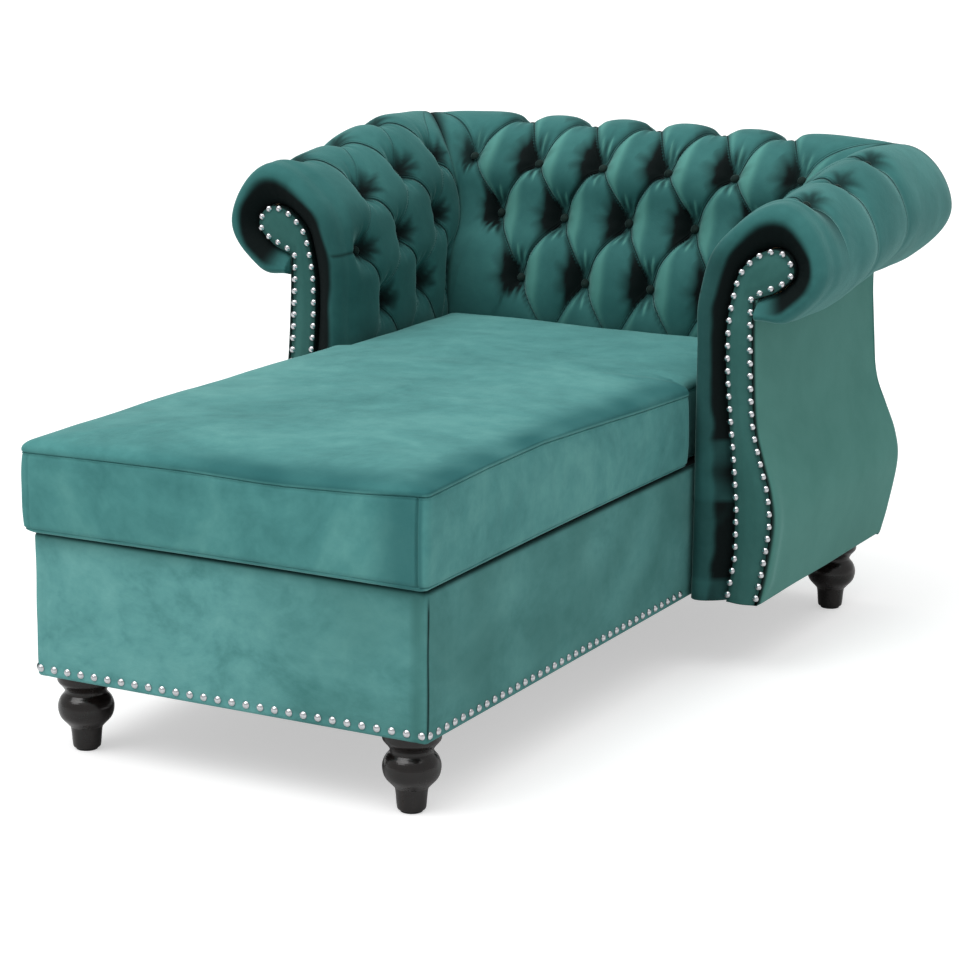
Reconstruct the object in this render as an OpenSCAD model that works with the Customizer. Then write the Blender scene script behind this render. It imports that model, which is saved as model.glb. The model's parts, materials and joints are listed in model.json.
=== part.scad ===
// Fainting couch: a chaise with a buttoned back and two scroll arms, on turned feet.
// All lengths are in millimetres. X runs to the right, Y to the back and Z up.
// The origin is on the floor, under the middle of the couch.

/* [Base] */
// Width of the upholstered base, across its velvet
base_w = 576; // [540:1:620]
// Length from the front of the base to the foot of the outer back panel
base_l = 1243; // [1160:1:1340]
// Height of the lower edge of the base above the floor
base_bottom = 103; // [85:1:130]
// Height of the velvet border round the base
base_h = 190; // [175:1:215]
// Thickness of the border, velvet over wadding
border_t = 8; // [6:1:12]

/* [Arms] */
// Length of an arm, from its front to the back of the couch
arm_l = 476; // [445:1:520]
// Thickness of an arm at its foot
arm_t = 107; // [100:1:125]
// Height of the top of an arm at its front
arm_top = 674; // [650:1:690]
// Height of the lowest buttons on an arm above the seat deck
low_row = 159; // [150:1:170]
// Thickness of the scroll shaped board in the front of an arm
board_t = 20; // [16:1:25]
// Thickness of the velvet covered facing on the front of an arm
facing_t = 22; // [18:1:26]

/* [Back] */
// Height of the top of the back
back_top = 708; // [690:1:740]
// Depth of the back from its lowest buttons to the foot of its outer panel
back_t = 143; // [135:1:165]
// How much higher the lowest buttons sit at the back than at the arm fronts
low_row_rise = 23; // [10:1:30]
// Thickness of the posts at the ends of the back
post_t = 22; // [18:1:26]

/* [Scroll] */
// How far the scrolls stand out past the foot of the outer panels
roll_over = 83; // [76:1:92]
// Rounding of the scroll at the two rear corners
corner_round = 20; // [12:1:26]
// Thickness of an outer panel, velvet over card
panel_t = 5; // [4:1:7]
// Swell of the outer panels near their foot
panel_bulge = 18; // [12:1:20]

/* [Buttoning] */
// Thickness of the buttoned velvet with its stuffing
cover_t = 28; // [26:1:32]
// Thickness of the plain foam layer under it
foam_t = 14; // [10:1:18]
// Spacing of the buttons along an arm
arm_pitch = 115; // [110:1:120]
// Distance from the front of an arm to its first button
first_button = 76; // [70:1:84]
// Spacing of the buttons across the back
back_pitch = 111; // [106:1:116]
// How far the tufts swell out
lobe = 8; // [5:1:10]
// Depth of the pleats between the tufts
groove = 8; // [5:1:10]
// Depth of the buttons
button_depth = 19; // [16:1:20]
// Radius of a button
button_r = 7; // [6:0.5:9]
// Height of a button
button_h = 5; // [4:0.5:7]
// Depth of the sewn seams at the inner corners
seam_dip = 5; // [3:1:8]

/* [Arm fronts] */
// How far the padded ring stands in front of the facing
ring_bulge = 12; // [8:1:16]

/* [Nails] */
// Radius of a nail head
nail_r = 5; // [4:0.5:6]
// Height of a nail head
nail_dome = 3; // [2:0.5:4]
// Radius of a nail shank
nail_shank_r = 0.9; // [0.7:0.1:1.2]
// Length of a nail shank
nail_shank = 14; // [12:1:16]
// Spacing of the nails round the base
base_nail_pitch = 21; // [18:1:26]
// Height of the nail row above the lower edge of the base
base_nail_edge = 11; // [8:1:16]
// Spacing of the nails on the facings
facing_nail_pitch = 18; // [15:1:22]
// Distance of the nails from the edge of a facing
facing_nail_edge = 3.5; // [3:0.5:5]

/* [Feet] */
// Largest radius of a turned foot
leg_r = 36.5; // [32:0.5:40]
// Distance of a foot's axis from the side of the couch above it
leg_in = 46; // [44:1:52]
// Distance of the front feet's axes from the front of the base
front_leg_back = 45; // [44:1:60]
// Distance of the rear feet's axes from the foot of the outer back panel
rear_leg_in = 81; // [70:1:90]
// Radius of the glide under a foot
glide_r = 14; // [11:1:16]
// Thickness of the glide under a foot
glide_t = 3; // [2:0.5:5]
// Radius of the bolts that hold the feet, arms and back
bolt_r = 4; // [3:0.5:5]
// Length of a foot's bolt on each side of the mounting plate
bolt_reach = 42; // [34:1:48]
// Width of a foot's mounting plate
plate_w = 60; // [54:1:66]
// Thickness of a foot's mounting plate
plate_t = 2.3; // [2:0.1:3]

/* [Frame] */
// Thickness of the wooden rails
rail_t = 25; // [20:1:30]
// Depth of the cross rails and bottom rails
rail_h = 44; // [38:1:48]
// Thickness of the dust cover
dust_t = 1; // [0.8:0.1:1.5]
// Width of a webbing strap
strap_w = 50; // [40:1:60]
// Thickness of a webbing strap
strap_t = 2; // [1.5:0.5:3]
// Thickness of the pad on the seat deck
pad_t = 16; // [12:1:20]
// Thickness of the cloth on the seat deck
cloth_t = 2; // [1.5:0.5:3]

/* [Cushion] */
// How far the cushion stands out in front of the base
cushion_over = 14; // [8:1:20]
// How far the cushion stands out past each side of the base in front of the arms
cushion_side = 6; // [2:1:10]
// Height of the cushion's boxed sides
cushion_box = 108; // [96:1:120]
// Height of the crown above the sides
cushion_crown = 28; // [20:1:36]
// How far the sides draw in between the corners
cushion_draw = 5; // [3:1:8]
// Rounding of the cushion's corners, seen from above
cushion_r = 26; // [20:1:36]
// Thickness of the cushion's wadding and velvet over its foam
cushion_wall = 20; // [16:1:24]

/* [Hidden] */

// Clearance between pieces that touch, and overrun of every cut
fit_gap = 0.3;
overrun = 6;
round_steps = 48;

velvet = [0.36, 0.59, 0.57];
velvet_deep = [0.29, 0.49, 0.46];
timber = [0.72, 0.56, 0.36];
espresso = [0.15, 0.12, 0.11];
steel = [0.75, 0.76, 0.78];
foam_tint = [0.93, 0.88, 0.70];
cloth_tint = [0.16, 0.16, 0.17];
webbing_tint = [0.55, 0.42, 0.28];

// Share of the buttoning's relief that is left on top of the roll, on an arm and on the back
roll_relief_shares = [0.62, 0.8];

// Places along the couch, from the front of the base, are turned into Y by this shift
cushion_swell_share = 0.08;
cushion_swell = cushion_swell_share * cushion_r;
overall_l = cushion_swell + cushion_over + base_l + roll_over + roll_relief_shares[1] * lobe;
base_front = cushion_swell + cushion_over - overall_l / 2;
half_w = base_w / 2;
deck_z = base_bottom + base_h;
arm_y = base_front + base_l - arm_l;
ring_y = arm_y - ring_bulge;
board_y = arm_y + facing_t + fit_gap;
frame_y = board_y + board_t + fit_gap;
back_y = base_front + base_l;
back_in = back_y - back_t;

arm_in = half_w + fit_gap;
arm_out = arm_in + arm_t;
arm_roll = arm_t + roll_over;
back_roll = back_t + roll_over;
skirt_z = deck_z + 3 * fit_gap;

// The scroll, from the deck up the inner face and over to the tack line under the roll.
// Each row has its reach on the arm, its reach on the back and its height, as shares.
// Rows 1 to 5 are the rows of buttons and pleats.
scroll_shares = [
    [0.000, 0.000, -0.70], [0.000, 0.000, 0.00], [0.010, 0.165, 0.41], [0.195, 0.265, 0.775],
    [0.675, 0.710, 0.99], [1.000, 1.000, 0.61], [0.750, 0.790, 0.285], [0.470, 0.560, 0.25]
];
last_row = len(scroll_shares) - 1;
// Where the padded ring on an arm front meets the facing: its reach and height at each row,
// and its height and reach below the deck
edge_shares = [
    [0.306, -0.70], [0.226, 0.00], [0.265, 0.415], [0.385, 0.626],
    [0.619, 0.712], [0.750, 0.586], [0.635, 0.454], [0.464, 0.386]
];
foot_edge_shares = [[0, 0.283], [0.36, 0.332], [0.72, 0.330], [1, 0.306]];
corner_shares = [0, 0, 0, 0, 0.25, 1, 0.6, 0];
// Height and reach of the outer panels, from the foot to the tack line
panel_shares = [
    [0, 0], [0.11, 0.5], [0.27, 1], [0.375, 0.75], [0.48, 0.05],
    [0.57, -0.55], [0.685, -0.85], [0.88, -1.06], [1, -1.06]
];
// Padded ring on the arm front: inset and forward reach
ring_shares = [[0, -0.9], [0.04, -0.1], [0.14, 0.65], [0.3, 1], [0.52, 0.8], [0.78, 0.1], [0.97, -0.8]];
// Where the arm's top starts and stops rising to the height of the back
rise_shares = [0.28, 1.06];
// Height and radius of the turned foot
leg_shares = [
    [0, 0.44], [0.03, 0.50], [0.25, 0.56], [0.31, 0.66], [0.42, 0.92], [0.55, 1],
    [0.66, 0.92], [0.745, 0.75], [0.81, 0.80], [0.89, 0.98], [0.94, 1.01], [1, 1.01]
];

tack_z = deck_z + low_row + scroll_shares[last_row][2] * (arm_top - deck_z - low_row);
panel_top = deck_z + low_row + edge_shares[last_row][1] * (arm_top - deck_z - low_row) - fit_gap;
waist_share = panel_shares[len(panel_shares) - 1][1];
tack_x = arm_out + waist_share * panel_bulge + fit_gap;
tack_y = back_y + waist_share * panel_bulge + fit_gap;

function mix(a, b, t) = a + (b - a) * t;
function clamp(v, low, high) = min(max(v, low), high);
function smooth(t) = let(c = clamp(t, 0, 1)) c * c * (3 - 2 * c);

// Smooth curve through the points p, at the place t counted in points.
// A fullness over 1 keeps the stretches between far points as round as an arc.
function curve(p, t, fullness = 1) =
    let(
        i = clamp(floor(t), 0, len(p) - 2),
        f = t - i,
        b = p[i],
        c = p[i + 1],
        a = i > 0 ? p[i - 1] : 2 * b - c,
        d = i + 2 < len(p) ? p[i + 2] : 2 * c - b,
        leave = fullness * (c - a) / 2,
        arrive = fullness * (d - b) / 2
    )
    b + leave * f + (3 * (c - b) - 2 * leave - arrive) * f * f + (2 * (b - c) + leave + arrive) * f * f * f;

// Outward direction of a curve, on the left of its run, from the points a reach away
curve_step = 0.01;
widest_step = 0.8;
step_rate = 1.2;
scroll_fullness = 1.22;
function outward(p, t, reach = curve_step) =
    let(
        ahead = curve(p, min(t + reach, len(p) - 1), scroll_fullness),
        run = ahead - curve(p, max(t - reach, 0), scroll_fullness),
        size = norm(run)
    )
    [-run[1], run[0]] / size;

// Length of a polyline and the point at a distance along it
function run_len(p, i = 0) = i >= len(p) - 1 ? 0 : norm(p[i + 1] - p[i]) + run_len(p, i + 1);
function run_at(p, s, i = 0) =
    let(leg = norm(p[i + 1] - p[i]))
    i >= len(p) - 2 || s <= leg ? p[i] + (p[i + 1] - p[i]) * s / leg : run_at(p, s - leg, i + 1);

// Height of a scroll row where the arm has risen by the share r
function row_z(i, r) =
    let(low = deck_z + low_row + r * low_row_rise, top = mix(arm_top, back_top, r))
    i == 0 ? skirt_z : low + scroll_shares[i][2] * (top - low);
function arm_curve(r) =
    [for (i = [0:last_row]) [i == last_row ? tack_x : arm_in + scroll_shares[i][0] * arm_roll, row_z(i, r)]];
back_curve =
    [for (i = [0:last_row]) [i == last_row ? tack_y : back_in + scroll_shares[i][1] * back_roll, row_z(i, 1)]];
arm_front_curve = arm_curve(0);
arm_rear_curve = arm_curve(1);

// A point on a scroll curve, inset by d. The tack line is inset straight up.
// Deep insets turn more slowly, so that they don't cross themselves inside the roll.
function inset(p, t, d) =
    let(reach = clamp(step_rate * d / arm_t, curve_step, widest_step))
    t >= last_row ? p[last_row] + [0, d] : curve(p, t, scroll_fullness) - outward(p, t, reach) * d;

// A point on the seam between an arm and the back, inset by d from both
function corner_cut(t) = corner_round * curve([for (s = corner_shares) [s, 0]], t)[0];
function seam(t, d) =
    let(a = inset(arm_rear_curve, t, d), b = inset(back_curve, t, d), cut = corner_cut(t))
    [a[0] - cut, b[0] - cut, (a[1] + b[1]) / 2];

// The plain layers under an arm's buttoning run straight from the board's back to the seam
function layer(t, d, y) =
    let(a = inset(arm_front_curve, t, d), b = seam(t, d), s = (y - frame_y) / (b[1] - frame_y))
    [mix(a[0], b[0], s), y, mix(a[1], b[2], s)];

// Outer panel: reach at a share of its height
function panel_line(foot) =
    [for (s = panel_shares) [foot + s[1] * panel_bulge, mix(base_bottom, panel_top, s[0])]];
panel_rows = 4 * (len(panel_shares) - 1);
function panel_curve(foot, shift) =
    [for (i = [0:panel_rows]) curve(panel_line(foot), i / 4) + [shift, 0]];
function panel_reach(foot, z) =
    let(t = lookup(z, [for (i = [0:panel_rows]) [curve(panel_line(foot), i / 4)[1], i / 4]]))
    curve(panel_line(foot), t)[0];

// Buttoning. Places are counted in half pitches along (a) and in rows up (b);
// the buttons lie where a + b is even, and the pleats run between them.
button_rows = 4;
function pillow(a, b) =
    let(c = clamp(b, 0, button_rows))
    sqrt(abs(sin(90 * (a + c)) * sin(90 * (a - c))));
pit_share = 0.3;
function pit(a, b) =
    let(
        p = round((a + b) / 2),
        q = round((a - b) / 2),
        d = norm([a - p - q, b - p + q]) / pit_share,
        on = p - q >= 0 && p - q < button_rows
    )
    on ? exp(-d * d) : 0;
function swell(a, b) = (lobe + groove) * pillow(a, b) - groove - (button_depth - groove) * pit(a, b);

// Triangles between the loops of a closed skin. A cell is split along its pleat.
function split(a, b) =
    let(p = (a + b) / 2, q = (a - b) / 2)
    abs(p - round(p)) < abs(q - round(q));
function skin_faces(rows, cols, ab) = [
    for (i = [0:rows - 2], j = [0:cols - 1])
        let(
            k = (j + 1) % cols,
            p = i * cols + j,
            q = i * cols + k,
            r = (i + 1) * cols + k,
            s = (i + 1) * cols + j
        )
        each split(ab[i][j][0], ab[i][j][1]) ? [[p, q, s], [q, r, s]] : [[p, q, r], [p, r, s]]
];
// A cap fans from the last point of its straight back, over the first half of its front,
// and from the first point of the back over the rest. The points of the back join the middle.
function turned(f, flip) = flip ? [f[0], f[2], f[1]] : f;
function cap_faces(first, cols, last_back, flip) =
    let(middle = last_back + round((cols - last_back) / 2))
    concat(
        [for (j = [last_back + 1:middle - 1]) turned([last_back, j, j + 1], flip) + [first, first, first]],
        [for (j = [0:last_back - 1]) turned([j, j + 1, middle], flip) + [first, first, first]],
        [for (j = [middle:cols - 2]) turned([0, j, j + 1], flip) + [first, first, first]]
    );
// Cells of plain surfaces, split one way or the other so that neighbours match
plain = [0.3, 0];
crossed = [0.1, -0.1];
module skin(loops, ab, last_back) {
    rows = len(loops);
    cols = len(loops[0]);
    polyhedron(
        points = [for (l = loops) each l],
        faces = concat(
            skin_faces(rows, cols, ab),
            cap_faces(0, cols, last_back, true),
            cap_faces((rows - 1) * cols, cols, last_back, false)
        ),
        convexity = 10
    );
}

// Rows of the buttoned covers, in scroll rows
sub = 4;
tuft_rows = concat(
    [0, 0.5],
    [for (i = [0:sub * button_rows]) 1 + i / sub],
    [5.5, 6, 6.5, last_row]
);

// Swell of the arm cover fades out to the front, under the roll and at the seam
arm_half = arm_pitch / 2;
arm_first = -1;
arm_last = 4;
fade_share = 0.8;
function relief(t, share) = smooth(t) * (1 - smooth((t - 5) / 2)) * mix(1, share, smooth(t - 3));
function arm_swell(a, t) =
    let(
        b = t - 1,
        front = smooth((a - arm_first + fade_share) / fade_share),
        ends = relief(t, roll_relief_shares[0])
    )
    swell(max(a, arm_first), b) * front * ends;

// Columns of the arm cover: the place a, and the share of the way on to the seam
function arm_columns() = concat(
    [for (a = [-1.95, -1.7, -1.35]) [a, 0]],
    [for (i = [0:sub * 5]) [arm_first + i / sub, 0]],
    [[4.4, 0.4], [4.7, 0.75], [5, 1]]
);
first_y = arm_y + first_button;
near_seam_share = 0.7;
function button_y(a, t) =
    let(
        y3 = first_y + 4 * arm_half,
        gap = seam(t, 0)[1] - y3,
        y4 = y3 + min(arm_half, near_seam_share * gap)
    )
    a <= 3 ? first_y + (a - arm_first) * arm_half : mix(y3, y4, min(a - 3, 1));
function arm_rise(y) =
    smooth(((y - arm_y) / (back_in - arm_y) - rise_shares[0]) / (rise_shares[1] - rise_shares[0]));
function arm_surface(y, t, out) =
    let(p = arm_curve(arm_rise(y)), q = inset(p, t, -out))
    [q[0], y, q[1]];
function arm_point(c, t) =
    let(
        e = seam(t, seam_dip) - [0, fit_gap, 0],
        y = mix(button_y(c[0], t), e[1], c[1]),
        s = arm_surface(y, t, arm_swell(c[0], t) * (1 - c[1])),
        near = clamp(1 - (e[1] - y) / (3 * corner_round), 0, 1),
        cut = corner_cut(t) * (1 - sqrt(1 - near * near))
    )
    c[1] >= 1 ? e : s - [cut, 0, 0];
// Inner edge of the padded ring, moved on into the facing by d
edge_line = [
    for (i = [0:last_row])
        let(z = mix(deck_z + low_row, arm_top, edge_shares[i][1]))
        [i == last_row ? tack_x : arm_in + edge_shares[i][0] * arm_roll, i == 0 ? skirt_z : z]
];
function ring_edge(t, d) =
    t >= last_row
        ? edge_line[last_row] + [0, d]
        : curve(edge_line, t, scroll_fullness) - outward(edge_line, t) * d;
function ring_point(s, t) =
    let(p = mix(inset(arm_front_curve, t, 0), ring_edge(t, 0), s[0]))
    [p[0], arm_y - s[1] * ring_bulge, p[1]];
function ring_back(t, d, y) =
    let(p = inset(arm_front_curve, t, d))
    [p[0], y, p[1]];
flange_y = board_y - fit_gap;
function arm_loop(t) = concat(
    [seam(t, cover_t) - [0, fit_gap, 0], ring_back(t, cover_t, frame_y)],
    [ring_back(t, cover_t, flange_y), [ring_edge(t, 0)[0], flange_y, ring_edge(t, 0)[1]]],
    [for (i = [len(ring_shares) - 1:-1:0]) ring_point(ring_shares[i], t)],
    [for (c = arm_columns()) arm_point(c, t)]
);
// Below the deck only the padded ring goes on down, in front of the scroll board
foot_columns = len(arm_columns());
foot_back_shares = [0.3, 0.6];
foot_edge = [
    for (s = foot_edge_shares) [arm_in + s[1] * arm_roll, mix(base_bottom, skirt_z - fit_gap, s[0])]
];
function foot_loop(p) =
    let(ring_end = arm_y - ring_shares[0][1] * ring_bulge)
    concat(
        [for (s = foot_back_shares) [arm_in + s * cover_t, flange_y - 2 * fit_gap, p[1]]],
        [[arm_in + cover_t, flange_y, p[1]], [p[0], flange_y, p[1]]],
        [for (i = [len(ring_shares) - 1:-1:0])
            [mix(arm_in, p[0], ring_shares[i][0]), arm_y - ring_shares[i][1] * ring_bulge, p[1]]],
        [for (j = [1:foot_columns]) [arm_in, mix(ring_end, flange_y, j / foot_columns), p[1]]]
    );
arm_loops = concat([for (p = foot_edge) foot_loop(p)], [for (t = tuft_rows) arm_loop(t)]);
arm_ab = [
    for (t = concat([for (p = foot_edge) 0], tuft_rows))
        concat(
            [for (i = [0:len(ring_shares) + 3]) plain],
            [for (c = arm_columns())
                c[1] > 0 ? plain : [c[0] + 0.5 / sub, clamp(t - 1, 0, button_rows) + 0.5 / sub]]
        )
];
module arm_cover() skin(arm_loops, arm_ab, 2);

// Back cover
back_half = back_pitch / 2;
back_last = 5;
back_flat = 4;
back_fade_share = 0.55;
function back_columns() = concat(
    [[5.9, 1], [5.6, 0.7], [5.3, 0.35]],
    [for (i = [0:2 * back_last * sub]) [back_last - i / sub, 0]],
    [[-5.3, 0.35], [-5.6, 0.7], [-5.9, 1]]
);
function back_x(a, t) =
    let(
        x4 = back_flat * back_half,
        gap = seam(t, 0)[0] - x4,
        x5 = x4 + min(back_half, near_seam_share * gap),
        m = abs(a)
    )
    sign(a) * (m <= back_flat ? m * back_half : mix(x4, x5, min(m - back_flat, 1)));
function back_swell(a, t) =
    let(
        b = t - 1,
        m = clamp(a, -back_last, back_last),
        edge = mix(1, back_fade_share, smooth(abs(a) - back_flat)),
        ends = relief(t, roll_relief_shares[1]),
        missing = (abs(a) > back_flat && b < 1) ? (button_depth - groove) * pit(m + 1, b) : 0
    )
    (swell(m + 1, b) + missing) * edge * ends;
function back_point(c, t) =
    let(
        side = sign(c[0]),
        e = seam(t, seam_dip) - [fit_gap, 0, 0],
        x = mix(back_x(clamp(abs(c[0]), 0, back_last), t), e[0], c[1]),
        q = inset(back_curve, t, -back_swell(c[0], t) * (1 - c[1])),
        near = clamp(1 - (e[0] - x) / (3 * corner_round), 0, 1),
        cut = corner_cut(t) * (1 - sqrt(1 - near * near))
    )
    c[1] >= 1 ? [side * e[0], e[1], e[2]] : [side * x, q[0] - cut, q[1]];
// The plain back of the cover runs straight between the two rounded corners
function back_line(t, d) =
    let(
        e = seam(t, d) - [fit_gap, 0, 0],
        q = inset(back_curve, t, d),
        x = e[0] - 3 * corner_round
    )
    [[-e[0], e[1], e[2]], [-x, q[0], q[1]], [x, q[0], q[1]], e];
back_loops = [for (t = tuft_rows) concat(back_line(t, cover_t), [for (c = back_columns()) back_point(c, t)])];
back_ab = [
    for (t = tuft_rows)
        concat(
            [plain, plain, plain, crossed],
            [for (c = back_columns())
                c[1] > 0 ? plain : [c[0] + 1 - 0.5 / sub, clamp(t - 1, 0, button_rows) + 0.5 / sub]]
        )
];
module back_cover() skin(back_loops, back_ab, 3);

// Plain foam layers behind the covers
foam_in = cover_t + fit_gap;
foam_out = cover_t + foam_t;
module arm_foam() {
    loops = [
        for (t = tuft_rows) [
            seam(t, foam_out) - [0, fit_gap, 0],
            layer(t, foam_out, frame_y),
            layer(t, foam_in, frame_y),
            seam(t, foam_in) - [0, fit_gap, 0]
        ]
    ];
    skin(loops, [for (t = tuft_rows) [plain, plain, crossed, plain]], 1);
}
module back_foam() {
    loops = [
        for (t = tuft_rows)
            let(front = back_line(t, foam_in))
            concat(back_line(t, foam_out), [for (i = [3:-1:0]) front[i]])
    ];
    skin(loops, [for (t = tuft_rows) [plain, plain, plain, crossed, crossed, crossed, crossed, plain]], 3);
}

// A dome of radius r and height h, cut from a sphere
module dome(r, h) {
    ball = (r * r + h * h) / (2 * h);
    intersection() {
        translate([0, 0, h - ball]) sphere(ball, $fn = round_steps);
        cylinder(r = 2 * r, h = 2 * h, $fn = round_steps);
    }
}

// Buttons, pulled into the pits
button_sit_share = 0.5;
module button() dome(button_r, button_h);
module on_arm(a, t) {
    y = button_y(a, t);
    p = arm_curve(arm_rise(y));
    q = inset(p, t, -arm_swell(a, t) - button_sit_share * button_h);
    n = outward(p, t);
    translate([q[0], y, q[1]])
        rotate([0, atan2(n[0], n[1]), 0])
            button();
}
module on_back(a, t) {
    q = inset(back_curve, t, -back_swell(a, t) - button_sit_share * button_h);
    n = outward(back_curve, t);
    translate([back_x(a, t), q[0], q[1]])
        rotate([-atan2(n[0], n[1]), 0, 0])
            button();
}
module arm_buttons() {
    for (a = [0, 2]) on_arm(a, 1);
    for (a = [-1, 1, 3]) on_arm(a, 2);
    for (a = [0, 2, 4]) on_arm(a, 3);
    for (a = [-1, 1, 3]) on_arm(a, 4);
}
module back_buttons() {
    for (a = [-3:2:3]) on_back(a, 1);
    for (a = [-4:2:4]) on_back(a, 2);
    for (a = [-5:2:5]) on_back(a, 3);
    for (a = [-4:2:4]) on_back(a, 4);
}

// Flat stock, and outlines pushed along Y or X
module block(x0, x1, y0, y1, z0, z1) translate([x0, y0, z0]) cube([x1 - x0, y1 - y0, z1 - z0]);
module along_y(y0, y1) translate([0, y1, 0]) rotate([90, 0, 0]) linear_extrude(y1 - y0) children();
module along_x(x0, x1) translate([x0, 0, 0]) rotate([90, 0, 90]) linear_extrude(x1 - x0) children();
module rod_z(x, y, z0, z1, r) translate([x, y, z0]) cylinder(r = r, h = z1 - z0, $fn = round_steps);
module rod_x(x0, x1, y, z, r)
    translate([x0, y, z]) rotate([0, 90, 0]) cylinder(r = r, h = x1 - x0, $fn = round_steps);
module both_sides() {
    children();
    mirror([1, 0, 0]) children();
}

// Outer panels, mitred at the rear corners
mitre = back_y - arm_out;
module arm_panel() {
    near = arm_in + arm_t / 2;
    far = arm_out + 2 * panel_bulge;
    front = arm_y + 2 * fit_gap;
    intersection() {
        along_y(front, back_y + far)
            polygon(concat(panel_curve(arm_out, 0), [for (i = [panel_rows:-1:0]) panel_curve(arm_out, -panel_t)[i]]));
        translate([0, 0, base_bottom - overrun])
            linear_extrude(panel_top)
                polygon([[near, front], [far, front], [far, far + mitre - fit_gap], [near, near + mitre - fit_gap]]);
    }
}
module back_panel() {
    near = back_y - 2 * panel_bulge - panel_t;
    far = back_y + 2 * panel_bulge;
    reach = far - mitre;
    intersection() {
        along_x(-reach, reach)
            polygon(concat(panel_curve(back_y, 0), [for (i = [panel_rows:-1:0]) panel_curve(back_y, -panel_t)[i]]));
        translate([0, 0, base_bottom - overrun])
            linear_extrude(panel_top)
                polygon([
                    [mitre - near, near], [near - mitre, near],
                    [far - mitre, far], [mitre - far, far]
                ]);
    }
}

// Outline of the facing, and the run of its nails
side_rows = 24;
function panel_side(foot, d, low, high) =
    [for (i = [0:side_rows]) let(h = mix(high, low, i / side_rows)) [panel_reach(foot, h) - panel_t - d, h]];
module facing() {
    inner = [for (t = tuft_rows) ring_edge(t, 3 * fit_gap)];
    along_y(arm_y, arm_y + facing_t)
        polygon(concat(
            [for (p = foot_edge) [p[0] + 3 * fit_gap, p[1]]],
            inner,
            panel_side(arm_out, fit_gap, base_bottom, panel_top + fit_gap)
        ));
}
nail_rows = [for (i = [0:34]) i / 6];
nail_inset = facing_nail_edge + fit_gap;
nail_run = concat(
    [for (p = foot_edge) [p[0] + nail_inset, max(p[1], base_bottom + base_nail_edge)]],
    [for (t = nail_rows) ring_edge(t, nail_inset)],
    [[panel_reach(arm_out, panel_top) - panel_t - nail_inset, panel_top + 2 * fit_gap + facing_nail_edge]],
    panel_side(arm_out, nail_inset, base_bottom + base_nail_edge, panel_top)
);
module nail() {
    dome(nail_r, nail_dome);
    translate([0, 0, -nail_shank]) cylinder(r = nail_shank_r, h = nail_shank, $fn = round_steps);
}
module facing_nails() {
    count = round(run_len(nail_run) / facing_nail_pitch);
    for (i = [0:count]) {
        p = run_at(nail_run, run_len(nail_run) * i / count);
        translate([p[0], arm_y, p[1]]) rotate([90, 0, 0]) nail();
    }
}

// Wooden frame of an arm
floor_z = base_bottom + plate_t + fit_gap;
wood_z = floor_z + dust_t;
frame_in = half_w - border_t;
web_z = deck_z - cloth_t - pad_t - 2 * strap_t;
function wood_bottom() =
    [[frame_in + fit_gap, wood_z], [frame_in + fit_gap, web_z]];
bolt_low = wood_z + rail_h / 2;
bolt_high = web_z - rail_h / 2;
bolt_gap = 0.1;
module board_holes(y) {
    for (z = [bolt_low, bolt_high]) rod_x(frame_in - overrun, frame_in + bolt_reach, y, z, bolt_r + bolt_gap);
}
module scroll_board() {
    top = [for (t = tuft_rows) inset(arm_front_curve, t, cover_t + fit_gap)];
    tip = [[top[len(top) - 1][0], max(top[len(top) - 1][1], panel_top + fit_gap)]];
    difference() {
        along_y(board_y, board_y + board_t)
            polygon(concat(
                wood_bottom(),
                [[arm_in + cover_t + fit_gap, web_z]],
                [for (i = [0:len(top) - 2]) top[i]],
                tip,
                panel_side(arm_out, fit_gap, wood_z, panel_top)
            ));
        board_holes(board_y + board_t / 2);
    }
}
post_y = back_in - 2 * board_t;
roll_core_share = 0.52;
roll_rail_share = 0.9;
roll_rail_w = roll_rail_share * rail_t;
roll_rail_x = arm_in + roll_core_share * arm_roll - roll_rail_w / 2;
roll_rail_z = (row_z(5, 0) + row_z(5, 1)) / 2 - roll_rail_w / 2;
module roll_rail_stock(slack) {
    block(
        roll_rail_x - slack, roll_rail_x + roll_rail_w + slack,
        frame_y, tack_y,
        roll_rail_z - slack, roll_rail_z + roll_rail_w + slack
    );
}
module arm_post() {
    mid = post_y + board_t / 2;
    slack = 6 * fit_gap;
    top = [for (t = tuft_rows) let(p = layer(t, foam_out + slack, mid)) [p[0], p[2]]];
    tip = [[top[len(top) - 1][0], max(top[len(top) - 1][1], panel_top + fit_gap)]];
    difference() {
        along_y(post_y, post_y + board_t)
            polygon(concat(
                wood_bottom(),
                [[arm_in + foam_out + slack, web_z]],
                [for (i = [0:len(top) - 2]) top[i]],
                tip,
                panel_side(arm_out, fit_gap, wood_z, panel_top)
            ));
        board_holes(mid);
        roll_rail_stock(fit_gap);
    }
}
module between_boards(x0, x1, z0, z1) block(x0, x1, frame_y, post_y - fit_gap, z0, z1);
liner_x = arm_in + foam_out + 4 * fit_gap;
liner_share = 0.8;
module liner_rail() between_boards(liner_x, liner_x + liner_share * rail_t, skirt_z, skirt_z + rail_h);
module top_rail() between_boards(tack_x - panel_t - rail_t, tack_x - panel_t - 2 * fit_gap, panel_top - rail_h, panel_top);
module bottom_rail() {
    side = arm_out - panel_t - fit_gap;
    between_boards(side - rail_t, side, wood_z, wood_z + rail_h);
}
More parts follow.
